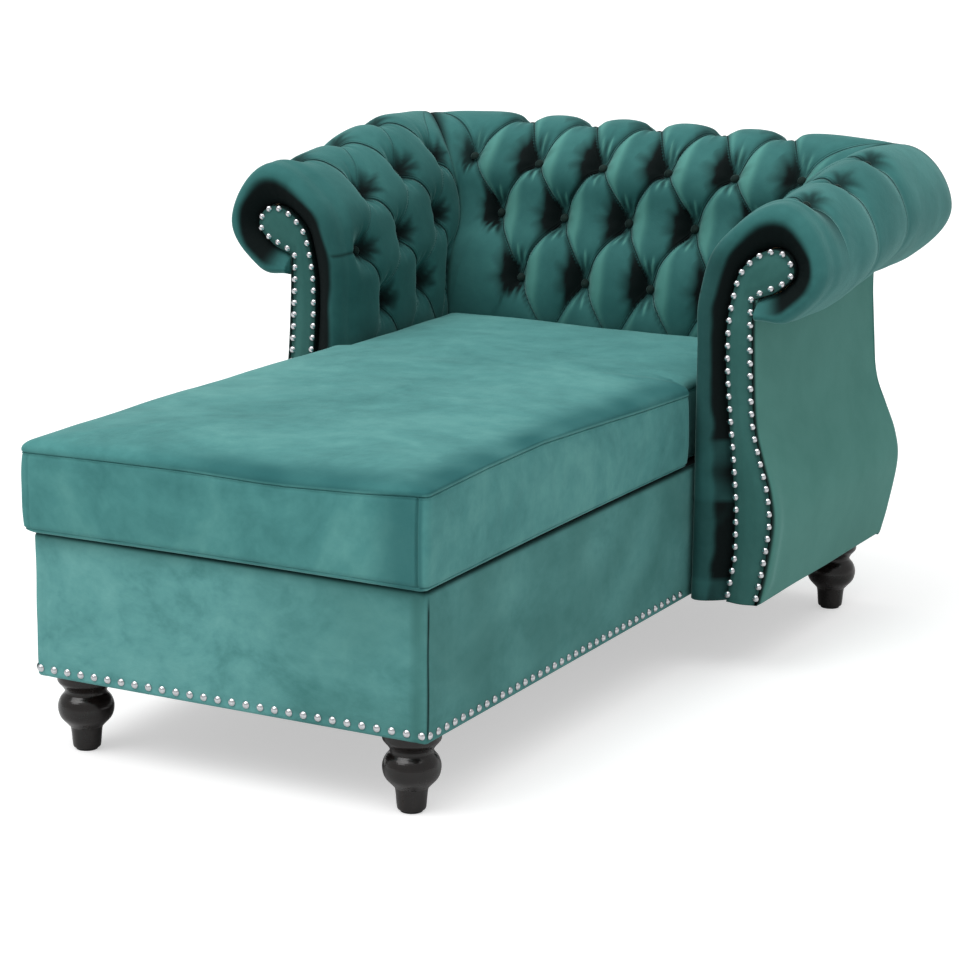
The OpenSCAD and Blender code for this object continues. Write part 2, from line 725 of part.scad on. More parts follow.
// Straps between the liner rail and the roll rail follow the back of the foam
strap_rows = [for (t = tuft_rows) if (t > 0 && t <= 3) t];
module arm_webbing() {
    count = 3;
    pitch = (post_y - frame_y) / count;
    for (i = [0:count - 1]) {
        y = frame_y + (i + 0.5) * pitch;
        line = [for (t = strap_rows) let(p = layer(t, foam_out + 2 * fit_gap, y - strap_w / 2)) [p[0], p[2]]];
        under = [for (t = strap_rows)
            let(p = layer(t, foam_out + 2 * fit_gap + strap_t, y - strap_w / 2)) [p[0], p[2]]];
        along_y(y - strap_w / 2, y + strap_w / 2)
            polygon(concat(line, [for (k = [len(under) - 1:-1:0]) under[k]]));
    }
}

// Wooden frame of the back
back_post_x = arm_in + rail_t / 2;
block_z = wood_z + rail_h;
module back_post_outline() {
    top = [for (t = tuft_rows) inset(back_curve, t, foam_out + 4 * fit_gap)];
    tip = [[top[len(top) - 1][0], max(top[len(top) - 1][1], panel_top + fit_gap)]];
    polygon(concat(
        [[top[0][0], block_z + fit_gap]],
        [for (i = [0:len(top) - 2]) top[i]],
        tip,
        panel_side(back_y, fit_gap, block_z + fit_gap, panel_top)
    ));
}
back_bolt_shares = [0.3, 0.75];
back_bolt_y = [for (s = back_bolt_shares) mix(back_in + foam_out, back_y - panel_bulge, s)];
module back_post() {
    difference() {
        along_x(back_post_x, back_post_x + post_t) back_post_outline();
        for (y = back_bolt_y)
            rod_z(back_post_x + post_t / 2, y, wood_z, block_z + bolt_reach, bolt_r + bolt_gap);
    }
}
back_span = back_post_x - fit_gap;
back_core_share = 0.62;
module back_lower_rail() {
    y = back_in + foam_out + 2 * fit_gap;
    block(-back_span, back_span, y, y + rail_t, skirt_z, skirt_z + rail_h);
}
module back_top_rail() {
    y = tack_y - panel_t - 2 * fit_gap;
    block(-back_span, back_span, y - rail_t, y, panel_top - rail_h, panel_top);
}
module back_roll_rail() {
    y = back_in + back_core_share * back_roll - roll_rail_w / 2;
    z = row_z(5, 1) - roll_rail_w / 2;
    block(-back_span, back_span, y, y + roll_rail_w, z, z + roll_rail_w);
}
module back_webbing() {
    count = 5;
    pitch = 2 * back_span / count;
    line = [for (t = strap_rows) inset(back_curve, t, foam_out + fit_gap)];
    under = [for (t = strap_rows) inset(back_curve, t, foam_out + fit_gap + strap_t)];
    for (i = [0:count - 1]) {
        x = (i + 0.5) * pitch - back_span;
        along_x(x - strap_w / 2, x + strap_w / 2)
            polygon(concat(line, [for (k = [len(under) - 1:-1:0]) under[k]]));
    }
}

// Seat frame
side_in = frame_in - rail_t;
rear_y = tack_y - panel_t - 2 * fit_gap;
front_in = base_front + border_t;
leg_places = [
    [half_w - leg_in, base_front + front_leg_back],
    [arm_out - leg_in, back_y - rear_leg_in]
];
module side_rail() {
    difference() {
        block(side_in, frame_in, front_in + fit_gap, rear_y, wood_z, web_z);
        for (y = [board_y + board_t / 2, post_y + board_t / 2], z = [bolt_low, bolt_high])
            rod_x(side_in - overrun, frame_in + overrun, y, z, bolt_r + bolt_gap);
    }
}
module front_rail() block(fit_gap - side_in, side_in - fit_gap, front_in + fit_gap, front_in + rail_t, wood_z, web_z);
module rear_rail() block(fit_gap - side_in, side_in - fit_gap, rear_y - rail_t, rear_y, wood_z, web_z);
cross_rail_shares = [0.33, 0.66];
module cross_rails() {
    for (s = cross_rail_shares) {
        y = mix(front_in, rear_y, s);
        block(fit_gap - side_in, side_in - fit_gap, y, y + rail_t, wood_z, wood_z + rail_h);
    }
}
module bolt_hole(p) rod_z(p[0], p[1], floor_z - overrun, wood_z + bolt_reach + bolt_gap, bolt_r + bolt_gap);
module corner_blocks() {
    front = front_in + rail_t + fit_gap;
    difference() {
        block(side_in - plate_w, side_in - fit_gap, front, front + plate_w, wood_z, block_z);
        bolt_hole(leg_places[0]);
    }
    difference() {
        block(
            frame_in + fit_gap, arm_out - panel_t - fit_gap,
            post_y + board_t + fit_gap, rear_y, wood_z, block_z
        );
        bolt_hole(leg_places[1]);
        for (y = back_bolt_y)
            rod_z(back_post_x + post_t / 2, y, wood_z - overrun, block_z + overrun, bolt_r + bolt_gap);
    }
}
module seat_webbing() {
    long_count = 4;
    cross_count = 9;
    deep = back_in - front_in;
    for (i = [0:cross_count - 1]) {
        y = front_in + (i + 0.5) * deep / cross_count;
        block(-frame_in, frame_in, y - strap_w / 2, y + strap_w / 2, web_z, web_z + strap_t);
    }
    for (i = [0:long_count - 1]) {
        x = ((i + 0.5) / long_count - 0.5) * 2 * frame_in;
        block(x - strap_w / 2, x + strap_w / 2, front_in + fit_gap, rear_y, web_z + strap_t, web_z + 2 * strap_t);
    }
}
module deck_pad() {
    low = web_z + 2 * strap_t;
    block(fit_gap - frame_in, frame_in - fit_gap, front_in + fit_gap, back_in, low, low + pad_t);
}
module deck_cloth() {
    block(fit_gap - frame_in, frame_in - fit_gap, front_in + fit_gap, back_in, deck_z - cloth_t, deck_z);
}
module dust_cover() {
    wide = arm_out - panel_t - fit_gap;
    far = back_y - panel_t - fit_gap;
    difference() {
        union() {
            block(-frame_in, frame_in, front_in + fit_gap, far, floor_z, floor_z + dust_t);
            block(-wide, wide, board_y, far, floor_z, floor_z + dust_t);
        }
        both_sides() for (p = leg_places) rod_z(p[0], p[1], floor_z - overrun, wood_z + overrun, bolt_r + bolt_gap);
    }
}

// Velvet border round the base, with rounded edges
edge_r = border_t / 2;
edge_steps = 6;
module border_section() {
    function arc(z, from) = [
        for (i = [0:edge_steps])
            let(s = from + 90 * i / edge_steps)
            [edge_r * cos(s) + border_t - edge_r, z + edge_r * sin(s)]
    ];
    polygon(concat(
        [[0, base_bottom]],
        arc(base_bottom + edge_r, -90),
        arc(deck_z - edge_r, 0),
        [[0, deck_z]]
    ));
}
module base_cover() {
    back_end = flange_y;
    union() {
        translate([-frame_in, front_in, 0])
            rotate([90, 0, 90])
                linear_extrude(2 * frame_in) mirror([1, 0, 0]) border_section();
        both_sides() {
            translate([frame_in, back_end, 0]) rotate([90, 0, 0]) linear_extrude(back_end - front_in) border_section();
            translate([frame_in, front_in, 0])
                rotate([0, 0, -90])
                    rotate_extrude(angle = 90, $fn = round_steps) border_section();
        }
    }
}
module base_nails() {
    z = base_bottom + base_nail_edge;
    wide = frame_in;
    across = round(2 * wide / base_nail_pitch);
    deep = ring_y - front_in - base_nail_pitch;
    along = round(deep / base_nail_pitch);
    for (i = [0:across])
        translate([2 * wide * i / across - wide, base_front, z]) rotate([90, 0, 0]) nail();
    both_sides()
        for (i = [0:along])
            translate([half_w, front_in + deep * i / along, z]) rotate([0, 90, 0]) nail();
}

// Turned foot with its glide, plate and bolt
leg_rows = 5 * (len(leg_shares) - 1);
leg_h = base_bottom - glide_t;
module leg(p) {
    line = [for (s = leg_shares) [leg_r * s[1], glide_t + leg_h * s[0]]];
    difference() {
        translate([p[0], p[1], 0])
            rotate_extrude($fn = 96)
                polygon(concat(
                    [[0, glide_t]],
                    [for (i = [0:leg_rows]) curve(line, i / 5)],
                    [[0, base_bottom]]
                ));
        rod_z(p[0], p[1], base_bottom - bolt_reach - bolt_gap, base_bottom + overrun, bolt_r + bolt_gap);
    }
}
module leg_glides() both_sides() for (p = leg_places) rod_z(p[0], p[1], 0, glide_t, glide_r);
module leg_plates() {
    half = plate_w / 2;
    both_sides()
        for (p = leg_places)
            difference() {
                block(p[0] - half, p[0] + half, p[1] - half, p[1] + half, base_bottom, base_bottom + plate_t);
                rod_z(p[0], p[1], base_bottom - overrun, floor_z + overrun, bolt_r + bolt_gap);
            }
}
module hanger_bolts()
    both_sides() for (p = leg_places) rod_z(p[0], p[1], base_bottom - bolt_reach, wood_z + bolt_reach - plate_t, bolt_r);
module arm_bolts()
    both_sides()
        for (y = [board_y + board_t / 2, post_y + board_t / 2], z = [bolt_low, bolt_high])
            rod_x(side_in, frame_in + bolt_reach - bolt_gap, y, z, bolt_r);
module back_bolts()
    both_sides()
        for (y = back_bolt_y)
            rod_z(back_post_x + post_t / 2, y, wood_z, block_z + bolt_reach - bolt_gap, bolt_r);

// Cushion: crowned top, boxed sides that draw in, seams at both edges.
// Each level has an inset, and a height as shares of the box and of the crown.
cushion_z = deck_z + fit_gap;
cushion_front = base_front - cushion_over;
cushion_clear = lobe + cushion_swell + 2 * fit_gap;
cushion_rear = min([for (t = tuft_rows) inset(back_curve, t, 0)[0]]) - cushion_clear;
cushion_wide = half_w + cushion_side;
cushion_narrow = min([for (t = tuft_rows) inset(arm_front_curve, t, 0)[0]]) - cushion_clear;
cushion_level_shares = [
    [4.0, 0, 0], [0.5, 0, 0], [0.16, 0.015, 0], [0, 0.065, 0],
    [cushion_swell_share, 0.12, 0], [-cushion_swell_share, 0.5, 0], [cushion_swell_share, 0.9, 0],
    [0, 0.955, 0], [0.15, 1, 0.05], [0.6, 1, 0.28], [1.7, 1, 0.60], [4, 1, 0.87], [6.8, 1, 0.98]
];
front_steps = 9;
notch_steps = 3;
rear_steps = 5;
end_steps = 10;
turn_steps = 4;
cushion_mid = (cushion_front + cushion_rear) / 2;
cushion_long = (cushion_rear - cushion_front) / 2;
// The cushion steps in over a short notch, right in front of the arms
notch_share = 0.6;
notch = notch_share * cushion_r;
function cushion_half(y) =
    let(narrowing = smooth((y - ring_y + notch) / (notch - 4 * fit_gap)))
    mix(cushion_wide, cushion_narrow, narrowing);
function draw_in(s) = cushion_draw * sin(180 * s);
function cushion_quarter(y, side, from) = [
    for (i = [0:turn_steps])
        let(s = from + 90 * i / turn_steps, half = cushion_half(y))
        [side * (half - cushion_r) + cushion_r * cos(s), y + cushion_r * sin(s)]
];
function cushion_end(y, out, first, last) =
    let(half = cushion_half(y) - cushion_r)
    [for (i = [1:end_steps - 1])
        let(s = i / end_steps) [mix(first * half, last * half, s), y - out * draw_in(s)]];
cushion_from = cushion_front + cushion_r;
cushion_to = cushion_rear - cushion_r;
cushion_flank = concat(
    [for (i = [1:front_steps]) mix(cushion_from, ring_y - notch, i / front_steps)],
    [for (i = [1:notch_steps]) ring_y - notch + notch * i / notch_steps],
    [for (i = [1:rear_steps - 1]) mix(ring_y, cushion_to, i / rear_steps)]
);
function flank_x(y) = cushion_half(y) - draw_in((y - cushion_from) / (cushion_to - cushion_from));
cushion_edge = concat(
    cushion_quarter(cushion_from, -1, 180),
    cushion_end(cushion_front, -1, -1, 1),
    cushion_quarter(cushion_from, 1, 270),
    [for (y = cushion_flank) [flank_x(y), y]],
    cushion_quarter(cushion_to, 1, 0),
    cushion_end(cushion_rear, 1, 1, -1),
    cushion_quarter(cushion_to, -1, 90),
    [for (i = [len(cushion_flank) - 1:-1:0]) [-flank_x(cushion_flank[i]), cushion_flank[i]]]
);
function cushion_level(l) =
    let(d = l[0] * cushion_r, z = cushion_z + l[1] * cushion_box + l[2] * cushion_crown)
    [for (p = cushion_edge)
        [p[0] * (1 - d / cushion_wide), cushion_mid + (p[1] - cushion_mid) * (1 - d / cushion_long), z]];
cushion_cols = len(cushion_edge);
cushion_rows = len(cushion_level_shares);
module cushion_body() {
    last = cushion_rows * cushion_cols;
    top = (cushion_rows - 1) * cushion_cols;
    polyhedron(
        points = concat(
            [for (l = cushion_level_shares) each cushion_level(l)],
            [[0, cushion_mid, cushion_z], [0, cushion_mid, cushion_z + cushion_box + cushion_crown]]
        ),
        faces = concat(
            [for (i = [0:cushion_rows - 2], j = [0:cushion_cols - 1])
                let(
                    k = (j + 1) % cushion_cols,
                    p = i * cushion_cols,
                    q = (i + 1) * cushion_cols
                )
                each [[p + j, q + j, p + k], [p + k, q + j, q + k]]],
            [for (j = [0:cushion_cols - 1]) [last, j, (j + 1) % cushion_cols]],
            [for (j = [0:cushion_cols - 1]) [last + 1, top + (j + 1) % cushion_cols, top + j]]
        ),
        convexity = 4
    );
}
module cushion_core(slack) {
    x = cushion_narrow - cushion_draw - cushion_wall - slack;
    block(
        -x, x,
        cushion_front + cushion_draw + cushion_wall + slack, cushion_rear - cushion_draw - cushion_wall - slack,
        cushion_z + cushion_wall + slack, cushion_z + cushion_box - cushion_wall / 2 - slack
    );
}
module cushion_cover() {
    difference() {
        cushion_body();
        cushion_core(0);
    }
}

color(espresso) mirror([1, 0, 0]) leg(leg_places[0]);  // leg_front_left
color(espresso) leg(leg_places[0]);  // leg_front_right
color(espresso) mirror([1, 0, 0]) leg(leg_places[1]);  // leg_rear_left
color(espresso) leg(leg_places[1]);  // leg_rear_right
color(cloth_tint) leg_glides();
color(steel) leg_plates();
color(steel) hanger_bolts();
color(timber) front_rail();
color(timber) rear_rail();
color(timber) mirror([1, 0, 0]) side_rail();  // side_rail_left
color(timber) side_rail();  // side_rail_right
color(timber) cross_rails();
color(timber) both_sides() corner_blocks();
color(webbing_tint) seat_webbing();
color(foam_tint) deck_pad();
color(cloth_tint) deck_cloth();
color(velvet) base_cover();
color(steel) base_nails();
color(cloth_tint) dust_cover();
color(timber) mirror([1, 0, 0]) scroll_board();  // left_scroll_board
color(timber) mirror([1, 0, 0]) arm_post();  // left_arm_post
color(timber) mirror([1, 0, 0]) liner_rail();  // left_liner_rail
color(timber) mirror([1, 0, 0]) top_rail();  // left_top_rail
color(timber) mirror([1, 0, 0]) bottom_rail();  // left_bottom_rail
color(timber) mirror([1, 0, 0]) roll_rail_stock(0);  // left_roll_rail
color(webbing_tint) mirror([1, 0, 0]) arm_webbing();  // left_arm_webbing
color(foam_tint) mirror([1, 0, 0]) arm_foam();  // left_arm_foam
color(velvet) mirror([1, 0, 0]) arm_cover();  // left_arm_cover
color(velvet_deep) mirror([1, 0, 0]) arm_panel();  // left_outer_panel
color(velvet_deep) mirror([1, 0, 0]) facing();  // left_facing
color(steel) mirror([1, 0, 0]) facing_nails();  // left_facing_nails
color(velvet_deep) mirror([1, 0, 0]) arm_buttons();  // left_arm_buttons
color(timber) scroll_board();  // right_scroll_board
color(timber) arm_post();  // right_arm_post
color(timber) liner_rail();  // right_liner_rail
color(timber) top_rail();  // right_top_rail
color(timber) bottom_rail();  // right_bottom_rail
color(timber) roll_rail_stock(0);  // right_roll_rail
color(webbing_tint) arm_webbing();  // right_arm_webbing
color(foam_tint) arm_foam();  // right_arm_foam
color(velvet) arm_cover();  // right_arm_cover
color(velvet_deep) arm_panel();  // right_outer_panel
color(velvet_deep) facing();  // right_facing
color(steel) facing_nails();  // right_facing_nails
color(velvet_deep) arm_buttons();  // right_arm_buttons
color(timber) mirror([1, 0, 0]) back_post();  // back_post_left
color(timber) back_post();  // back_post_right
color(timber) back_lower_rail();
color(timber) back_top_rail();
color(timber) back_roll_rail();
color(webbing_tint) back_webbing();
color(foam_tint) back_foam();
color(velvet) back_cover();
color(velvet_deep) back_panel();  // back_outer_panel
color(velvet_deep) back_buttons();
color(steel) arm_bolts();
color(steel) back_bolts();
color(foam_tint) cushion_core(fit_gap);  // cushion_foam
color(velvet) cushion_cover();
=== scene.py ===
import json
import math
import bpy
import numpy as np
from mathutils import Matrix, Vector, noise


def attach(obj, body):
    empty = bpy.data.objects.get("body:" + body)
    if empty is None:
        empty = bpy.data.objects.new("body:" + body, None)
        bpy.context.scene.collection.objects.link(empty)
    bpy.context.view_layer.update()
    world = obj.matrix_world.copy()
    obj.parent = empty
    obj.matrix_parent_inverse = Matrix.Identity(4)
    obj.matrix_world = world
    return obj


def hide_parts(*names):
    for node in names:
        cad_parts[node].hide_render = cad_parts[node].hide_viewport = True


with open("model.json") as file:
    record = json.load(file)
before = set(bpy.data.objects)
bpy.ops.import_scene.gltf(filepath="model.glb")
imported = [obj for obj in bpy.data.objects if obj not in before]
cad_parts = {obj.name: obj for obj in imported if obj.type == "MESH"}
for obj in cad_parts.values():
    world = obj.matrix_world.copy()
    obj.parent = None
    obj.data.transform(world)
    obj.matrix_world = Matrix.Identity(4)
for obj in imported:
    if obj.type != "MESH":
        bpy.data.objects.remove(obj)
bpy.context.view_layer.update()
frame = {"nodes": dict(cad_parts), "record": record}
MM = 0.001

# Sizes of the couch, in millimetres, as in the solids
base_w = 576
base_l = 1243
base_bottom = 103
base_h = 190
border_t = 8
base_nail_edge = 11
arm_l = 476
arm_t = 107
arm_top = 674
low_row = 159
low_row_rise = 23
board_t = 20
facing_t = 22
back_top = 708
back_t = 143
roll_over = 83
corner_round = 20
panel_t = 5
panel_bulge = 18
cover_t = 28
arm_pitch = 115
first_button = 76
back_pitch = 111
lobe = 8
button_depth = 19
seam_dip = 5
ring_bulge = 12
cushion_over = 14
cushion_side = 6
cushion_box = 108
cushion_crown = 28
cushion_draw = 5
cushion_r = 26
fit_gap = 0.3

# The scroll, from the deck up the inner face and over to the tack line under the roll.
# Each row has its reach on the arm, its reach on the back and its height.
scroll_shares = [(0, 0, -0.7), (0, 0, 0), (0.01, 0.165, 0.41), (0.195, 0.265, 0.775),
                 (0.675, 0.71, 0.99), (1, 1, 0.61), (0.75, 0.79, 0.285), (0.47, 0.56, 0.25)]
LAST = len(scroll_shares) - 1
# Reach and height of the line where the padded ring meets the facing, and its height and reach below the deck
edge_shares = [(0.306, -0.7), (0.226, 0), (0.265, 0.415), (0.385, 0.626),
               (0.619, 0.712), (0.75, 0.586), (0.635, 0.454), (0.464, 0.386)]
foot_edge_shares = [(0, 0.283), (0.36, 0.332), (0.72, 0.33), (1, 0.306)]
# Relief that is left on the roll of an arm and of the back, and rounding of the corners at each row
roll_relief_shares = (0.62, 0.8)
corner_shares = [0, 0, 0, 0, 0.25, 1, 0.6, 0]
# Height and reach of the outer panels, from the foot to the tack line
panel_shares = [(0, 0), (0.11, 0.5), (0.27, 1), (0.375, 0.75), (0.48, 0.05),
                (0.57, -0.55), (0.685, -0.85), (0.88, -1.06), (1, -1.06)]
waist_share = panel_shares[-1][1]
# Where the arm's top starts and stops rising to the height of the back
rise_shares = (0.28, 1.06)
cushion_swell_share = 0.08

cushion_swell = cushion_swell_share * cushion_r
overall_l = cushion_swell + cushion_over + base_l + roll_over + roll_relief_shares[1] * lobe
base_front = cushion_swell + cushion_over - overall_l / 2
half_w = base_w / 2
deck_z = base_bottom + base_h
arm_y = base_front + base_l - arm_l
ring_y = arm_y - ring_bulge
board_y = arm_y + facing_t + fit_gap
flange_y = board_y - fit_gap
frame_y = board_y + board_t + fit_gap
back_y = base_front + base_l
back_in = back_y - back_t
arm_in = half_w + fit_gap
arm_out = arm_in + arm_t
arm_roll = arm_t + roll_over
back_roll = back_t + roll_over
skirt_z = deck_z + 3 * fit_gap
panel_top = deck_z + low_row + edge_shares[LAST][1] * (arm_top - deck_z - low_row) - fit_gap
tack_x = arm_out + waist_share * panel_bulge + fit_gap
tack_y = back_y + waist_share * panel_bulge + fit_gap

# Steps of the scroll curves, as in the solids
scroll_fullness = 1.22
curve_step = 0.01
widest_step = 0.8
step_rate = 1.2


def smooth(t):
    c = np.clip(t, 0, 1)
    return c * c * (3 - 2 * c)


def rise(x, start, over):
    """From 0 at the start to 1, over a stretch."""
    return smooth((x - start) / over)


def fall(x, start, over):
    return 1 - rise(x, start, over)


def mix(a, b, t):
    return a + (b - a) * t


def bell(x, width):
    """A bump of height 1 about x = 0."""
    return np.exp(-(x / width) ** 2)


def arc(x):
    """Height of a round edge of radius 1, at x from its centre."""
    return np.sqrt(np.clip(1 - x ** 2, 0, 1))


def curve(points, t, full=1.0):
    """Points at t on a smooth curve through points, counted in points."""
    p = np.asarray(points, float)
    t = np.asarray(t, float)
    i = np.clip(np.floor(t).astype(int), 0, len(p) - 2)
    f = (t - i)[..., None]
    b, c = p[i], p[i + 1]
    a = np.where((i > 0)[..., None], p[np.maximum(i - 1, 0)], 2 * b - c)
    d = np.where((i + 2 < len(p))[..., None], p[np.minimum(i + 2, len(p) - 1)], 2 * c - b)
    leave, arrive = full * (c - a) / 2, full * (d - b) / 2
    square, cube = 3 * (c - b) - 2 * leave - arrive, 2 * (b - c) + leave + arrive
    return b + leave * f + square * f ** 2 + cube * f ** 3


def left_of(run):
    """Unit direction on the left of a run."""
    return np.stack([-run[..., 1], run[..., 0]], -1) / np.linalg.norm(run, axis=-1)[..., None]


def rows_z(r):
    """Height of each scroll row where the arm has risen by the share r."""
    low, top = deck_z + low_row + r * low_row_rise, mix(arm_top, back_top, r)
    return [skirt_z] + [low + s[2] * (top - low) for s in scroll_shares[1:]]


def scroll_line(column, start, reach, tack, r):
    """Reach and height of each scroll row, by a column of the shares: 0 for an arm, 1 for the back."""
    reaches = [start + s[column] * reach for s in scroll_shares[:-1]] + [tack]
    return np.array(list(zip(reaches, rows_z(r))))


ARM_FRONT = scroll_line(0, arm_in, arm_roll, tack_x, 0)
ARM_REAR = scroll_line(0, arm_in, arm_roll, tack_x, 1)
BACK = scroll_line(1, back_in, back_roll, tack_y, 1)


def on_scroll(kind, t, r):
    """Point of the plain scroll at t, risen by the share r."""
    if kind == "back":
        return curve(BACK, t, scroll_fullness)
    low, high = curve(ARM_FRONT, t, scroll_fullness), curve(ARM_REAR, t, scroll_fullness)
    return mix(low, high, np.asarray(r, float)[..., None])


def inset(kind, t, d, r=0.0):
    """Point of the scroll inset by d. Towards the tack line it is inset more and more straight up."""
    upright_from, upright_over = 6.5, 0.5
    t, d, r = np.broadcast_arrays(np.asarray(t, float), np.asarray(d, float), np.asarray(r, float))
    reach = np.clip(step_rate * d / arm_t, curve_step, widest_step)
    ahead = on_scroll(kind, np.minimum(t + reach, LAST), r)
    out = left_of(ahead - on_scroll(kind, np.maximum(t - reach, 0), r))
    up = rise(t, upright_from, upright_over)[..., None]
    out = out * (1 - up) + np.array([0, -1.0]) * up
    out /= np.linalg.norm(out, axis=-1)[..., None]
    return on_scroll(kind, t, r) - out * d[..., None]


EDGE = [(tack_x if i == LAST else arm_in + s[0] * arm_roll,
         skirt_z if i == 0 else mix(deck_z + low_row, arm_top, s[1])) for i, s in enumerate(edge_shares)]
FOOT = [(arm_in + s[1] * arm_roll, mix(base_bottom, skirt_z - fit_gap, s[0])) for s in foot_edge_shares]


def ring_edge(t, d=0.0):
    """Where the padded ring meets the facing, moved on into the facing by d."""
    t = np.asarray(t, float)
    ahead = curve(EDGE, np.minimum(t + curve_step, LAST), scroll_fullness)
    out = left_of(ahead - curve(EDGE, np.maximum(t - curve_step, 0), scroll_fullness))
    out = np.where((t >= LAST)[..., None], [0, -1.0], out)
    return curve(EDGE, t, scroll_fullness) - out * d


def relief(t, share):
    """The buttoning dies out below row 1 and past row 5, and on the roll a share of it is left."""
    return smooth(t) * fall(t, 5, 2) * mix(1, share, smooth(t - 3))


def corner_cut(t):
    return corner_round * curve(np.array(corner_shares, float)[:, None], t)[..., 0]


def seam(t, d):
    """A point on the seam between an arm and the back, inset by d from both."""
    a, b = inset("arm", t, d, 1), inset("back", t, d)
    cut = corner_cut(t)
    return np.stack([a[..., 0] - cut, b[..., 0] - cut, (a[..., 1] + b[..., 1]) / 2], -1)


def hills(x, y, seed):
    """Seeded smooth noise at places, from -1 to 1."""
    x, y = np.broadcast_arrays(x, y)
    out = [noise.noise(Vector((u, v, seed))) for u, v in zip(x.ravel(), y.ravel())]
    return np.array(out).reshape(x.shape)


# Buttoned surface

# Diamonds lie between the buttons, with pleats along their edges. Places are counted along the rows in
# half pitches (a) and up the rows (b); the buttons lie where a + b is even.
button_row_top = 3
pleat_start = -1
# Widths in half pitches: of a pleat, of its lip, beside a button, of a button's pit and of a fading pleat
pleat_open = 0.05
lip_open = 0.014
knot_open = 0.13
pit_open = 0.3
end_fade = 0.14
# Heights of the lips along the pleats and of the rays round a button
lip_h = 1.3
ray_h = 0.9


def side_of_pleat(d):
    return 0.5 * (1 - np.exp(-d / pleat_open)) + 0.5 * np.sin(np.pi * d)


def rows_up(t):
    """Rows counted from the lowest buttons, and on down behind the cushion at the same pitch."""
    return np.where(t < 1, 1.8 * (t - 1), t - 1)


def pleat_rows(b):
    return np.clip(b, pleat_start, button_row_top)


def lattice(a, b, first, last, ends):
    """Nearest button to each place, if there is one, and the sideways and upward way from it."""
    c = np.clip(b, 0, button_row_top)
    k, n = np.round((a + c) / 2), np.round((a - c) / 2)
    if ends:
        k, n = np.maximum(k, ends[0]), np.minimum(n, ends[1])
    on = (k - n >= 0) & (k - n <= button_row_top) & (k + n >= first) & (k + n <= last)
    return on, a - k - n, b - k + n


def pleat(off, along, weight):
    """Crease and overlapping lip at a way off a pleat, and at a distance from the pleats that cross it."""
    dist = np.minimum(np.abs(off), 0.5)
    crease = weight * (1 - side_of_pleat(dist)) * (0.72 + 0.28 * bell(along, knot_open))
    lip = weight * np.tanh(off / lip_open) * np.exp(-dist / pleat_open) * np.sin(np.pi * along) ** 0.5
    return crease, lip


def tufts(a, b, seed, low, cross=1.0, first=-1, last=4, ends=None):
    """Height over the plain form at place a along the rows and b up the rows.

    Creases lie low under the plain form. Outside both ends, where given, the cloth is plain."""
    c = pleat_rows(b)
    p, q = (a + c) / 2, (a - c) / 2
    k, n, cell_p, cell_q = np.round(p), np.round(q), np.floor(p), np.floor(q)
    wp, wq = 1.0, cross
    if ends:
        k, n = np.maximum(k, ends[0]), np.minimum(n, ends[1])
        cell_p, cell_q = np.maximum(cell_p, ends[0] - 1), np.minimum(cell_q, ends[1])
        wp = fall(q, ends[1], end_fade)
        wq = cross * (1 - smooth((ends[0] - p) / end_fade))
    # each diamond differs a little
    cell = cell_p * 7.31 + cell_q * 3.17 + seed
    crease_p, lip_p = pleat(p - k, np.minimum(np.abs(q - n), 0.5), wp)
    crease_q, lip_q = pleat(q - n, np.minimum(np.abs(p - k), 0.5), wq)
    pillow = np.clip(1 - (crease_p + crease_q), 0, 1) * (1 + 0.07 * np.sin(cell * 12.9898))
    on, da, db = lattice(a, b, first, last, ends)
    dist = np.hypot(da, db) / pit_open
    pit = np.where(on, np.exp(-dist ** 2), 0)
    rays = np.where(on, bell(dist - 1.0, 0.55), 0) * np.cos(9 * np.arctan2(db, da) + cell * 5)
    plain = (lobe + low) * pillow - low - (button_depth - low) * pit
    return plain + lip_h * (lip_p + lip_q) * (1 - pit) + ray_h * rays


def pit_shade(a, b, seed, wide, high, off, first=-1, last=4, ends=None):
    """Painted shade round each button, how black it is: a star, a little to one side of the button."""
    on, da, db = lattice(a, b, first, last, ends)
    x, y = (da - off) / wide, db / high
    turn = np.arctan2(y, x)
    reach = 1 + 0.2 * np.cos(7 * turn + seed + np.floor(a) * 2.3)
    reach = reach + 0.12 * np.cos(12 * turn + np.floor(b) * 1.7)
    return np.where(on, np.exp(-((x ** 2 + y ** 2) / reach ** 2) ** 1.3), 0)


# Seams between the arm covers and the back cover

seam_power = 1.1


def spaced(n, origin, half, corner, end, c):
    """Places at n half pitches from an origin. The fifth is cut short of the corner, and the share c
    leads on to the end at the seam."""
    full = origin + 4 * half
    last = full + np.minimum(half, 0.7 * (corner - full))
    return mix(np.where(n <= 4, origin + n * half, mix(full, last, np.clip(n - 4, 0, 1))), end, c)


def corner_in(t, away):
    """How far the rounding of a corner draws the cloth in, at a distance from the seam."""
    return corner_cut(t) * (1 - arc(np.clip(1 - away / (3 * corner_round), 0, 1)))


def loose_folds(x, t, seed):
    return 1.2 * hills(x / 60, t * 1.6, seed + 5) * smooth(t)


def tie(c):
    """The last tenth of the way to the seam is drawn onto it."""
    return np.clip((c - 0.9) / 0.1, 0, 1)


def tied(surface, ends, c):
    share = tie(c)[..., None]
    return surface * (1 - share) + ends * share


def seam_dark(t, c, wide):
    """Painted shade: black beside the seam, wide at the deck and narrow from row 4 on."""
    return bell(1 - c, mix(wide, 0.14, rise(t, 1, 3))) * (t < 6)


SUB = 24
T_ROWS = np.concatenate([np.linspace(-1, -0.004, SUB), np.linspace(0, 1, SUB, endpoint=False),
                         np.linspace(1, 5, 4 * SUB, endpoint=False), np.linspace(5, LAST, int(1.6 * SUB))])


def add_object(name, data):
    ob = bpy.data.objects.new(name, data)
    bpy.context.scene.collection.objects.link(ob)
    return ob


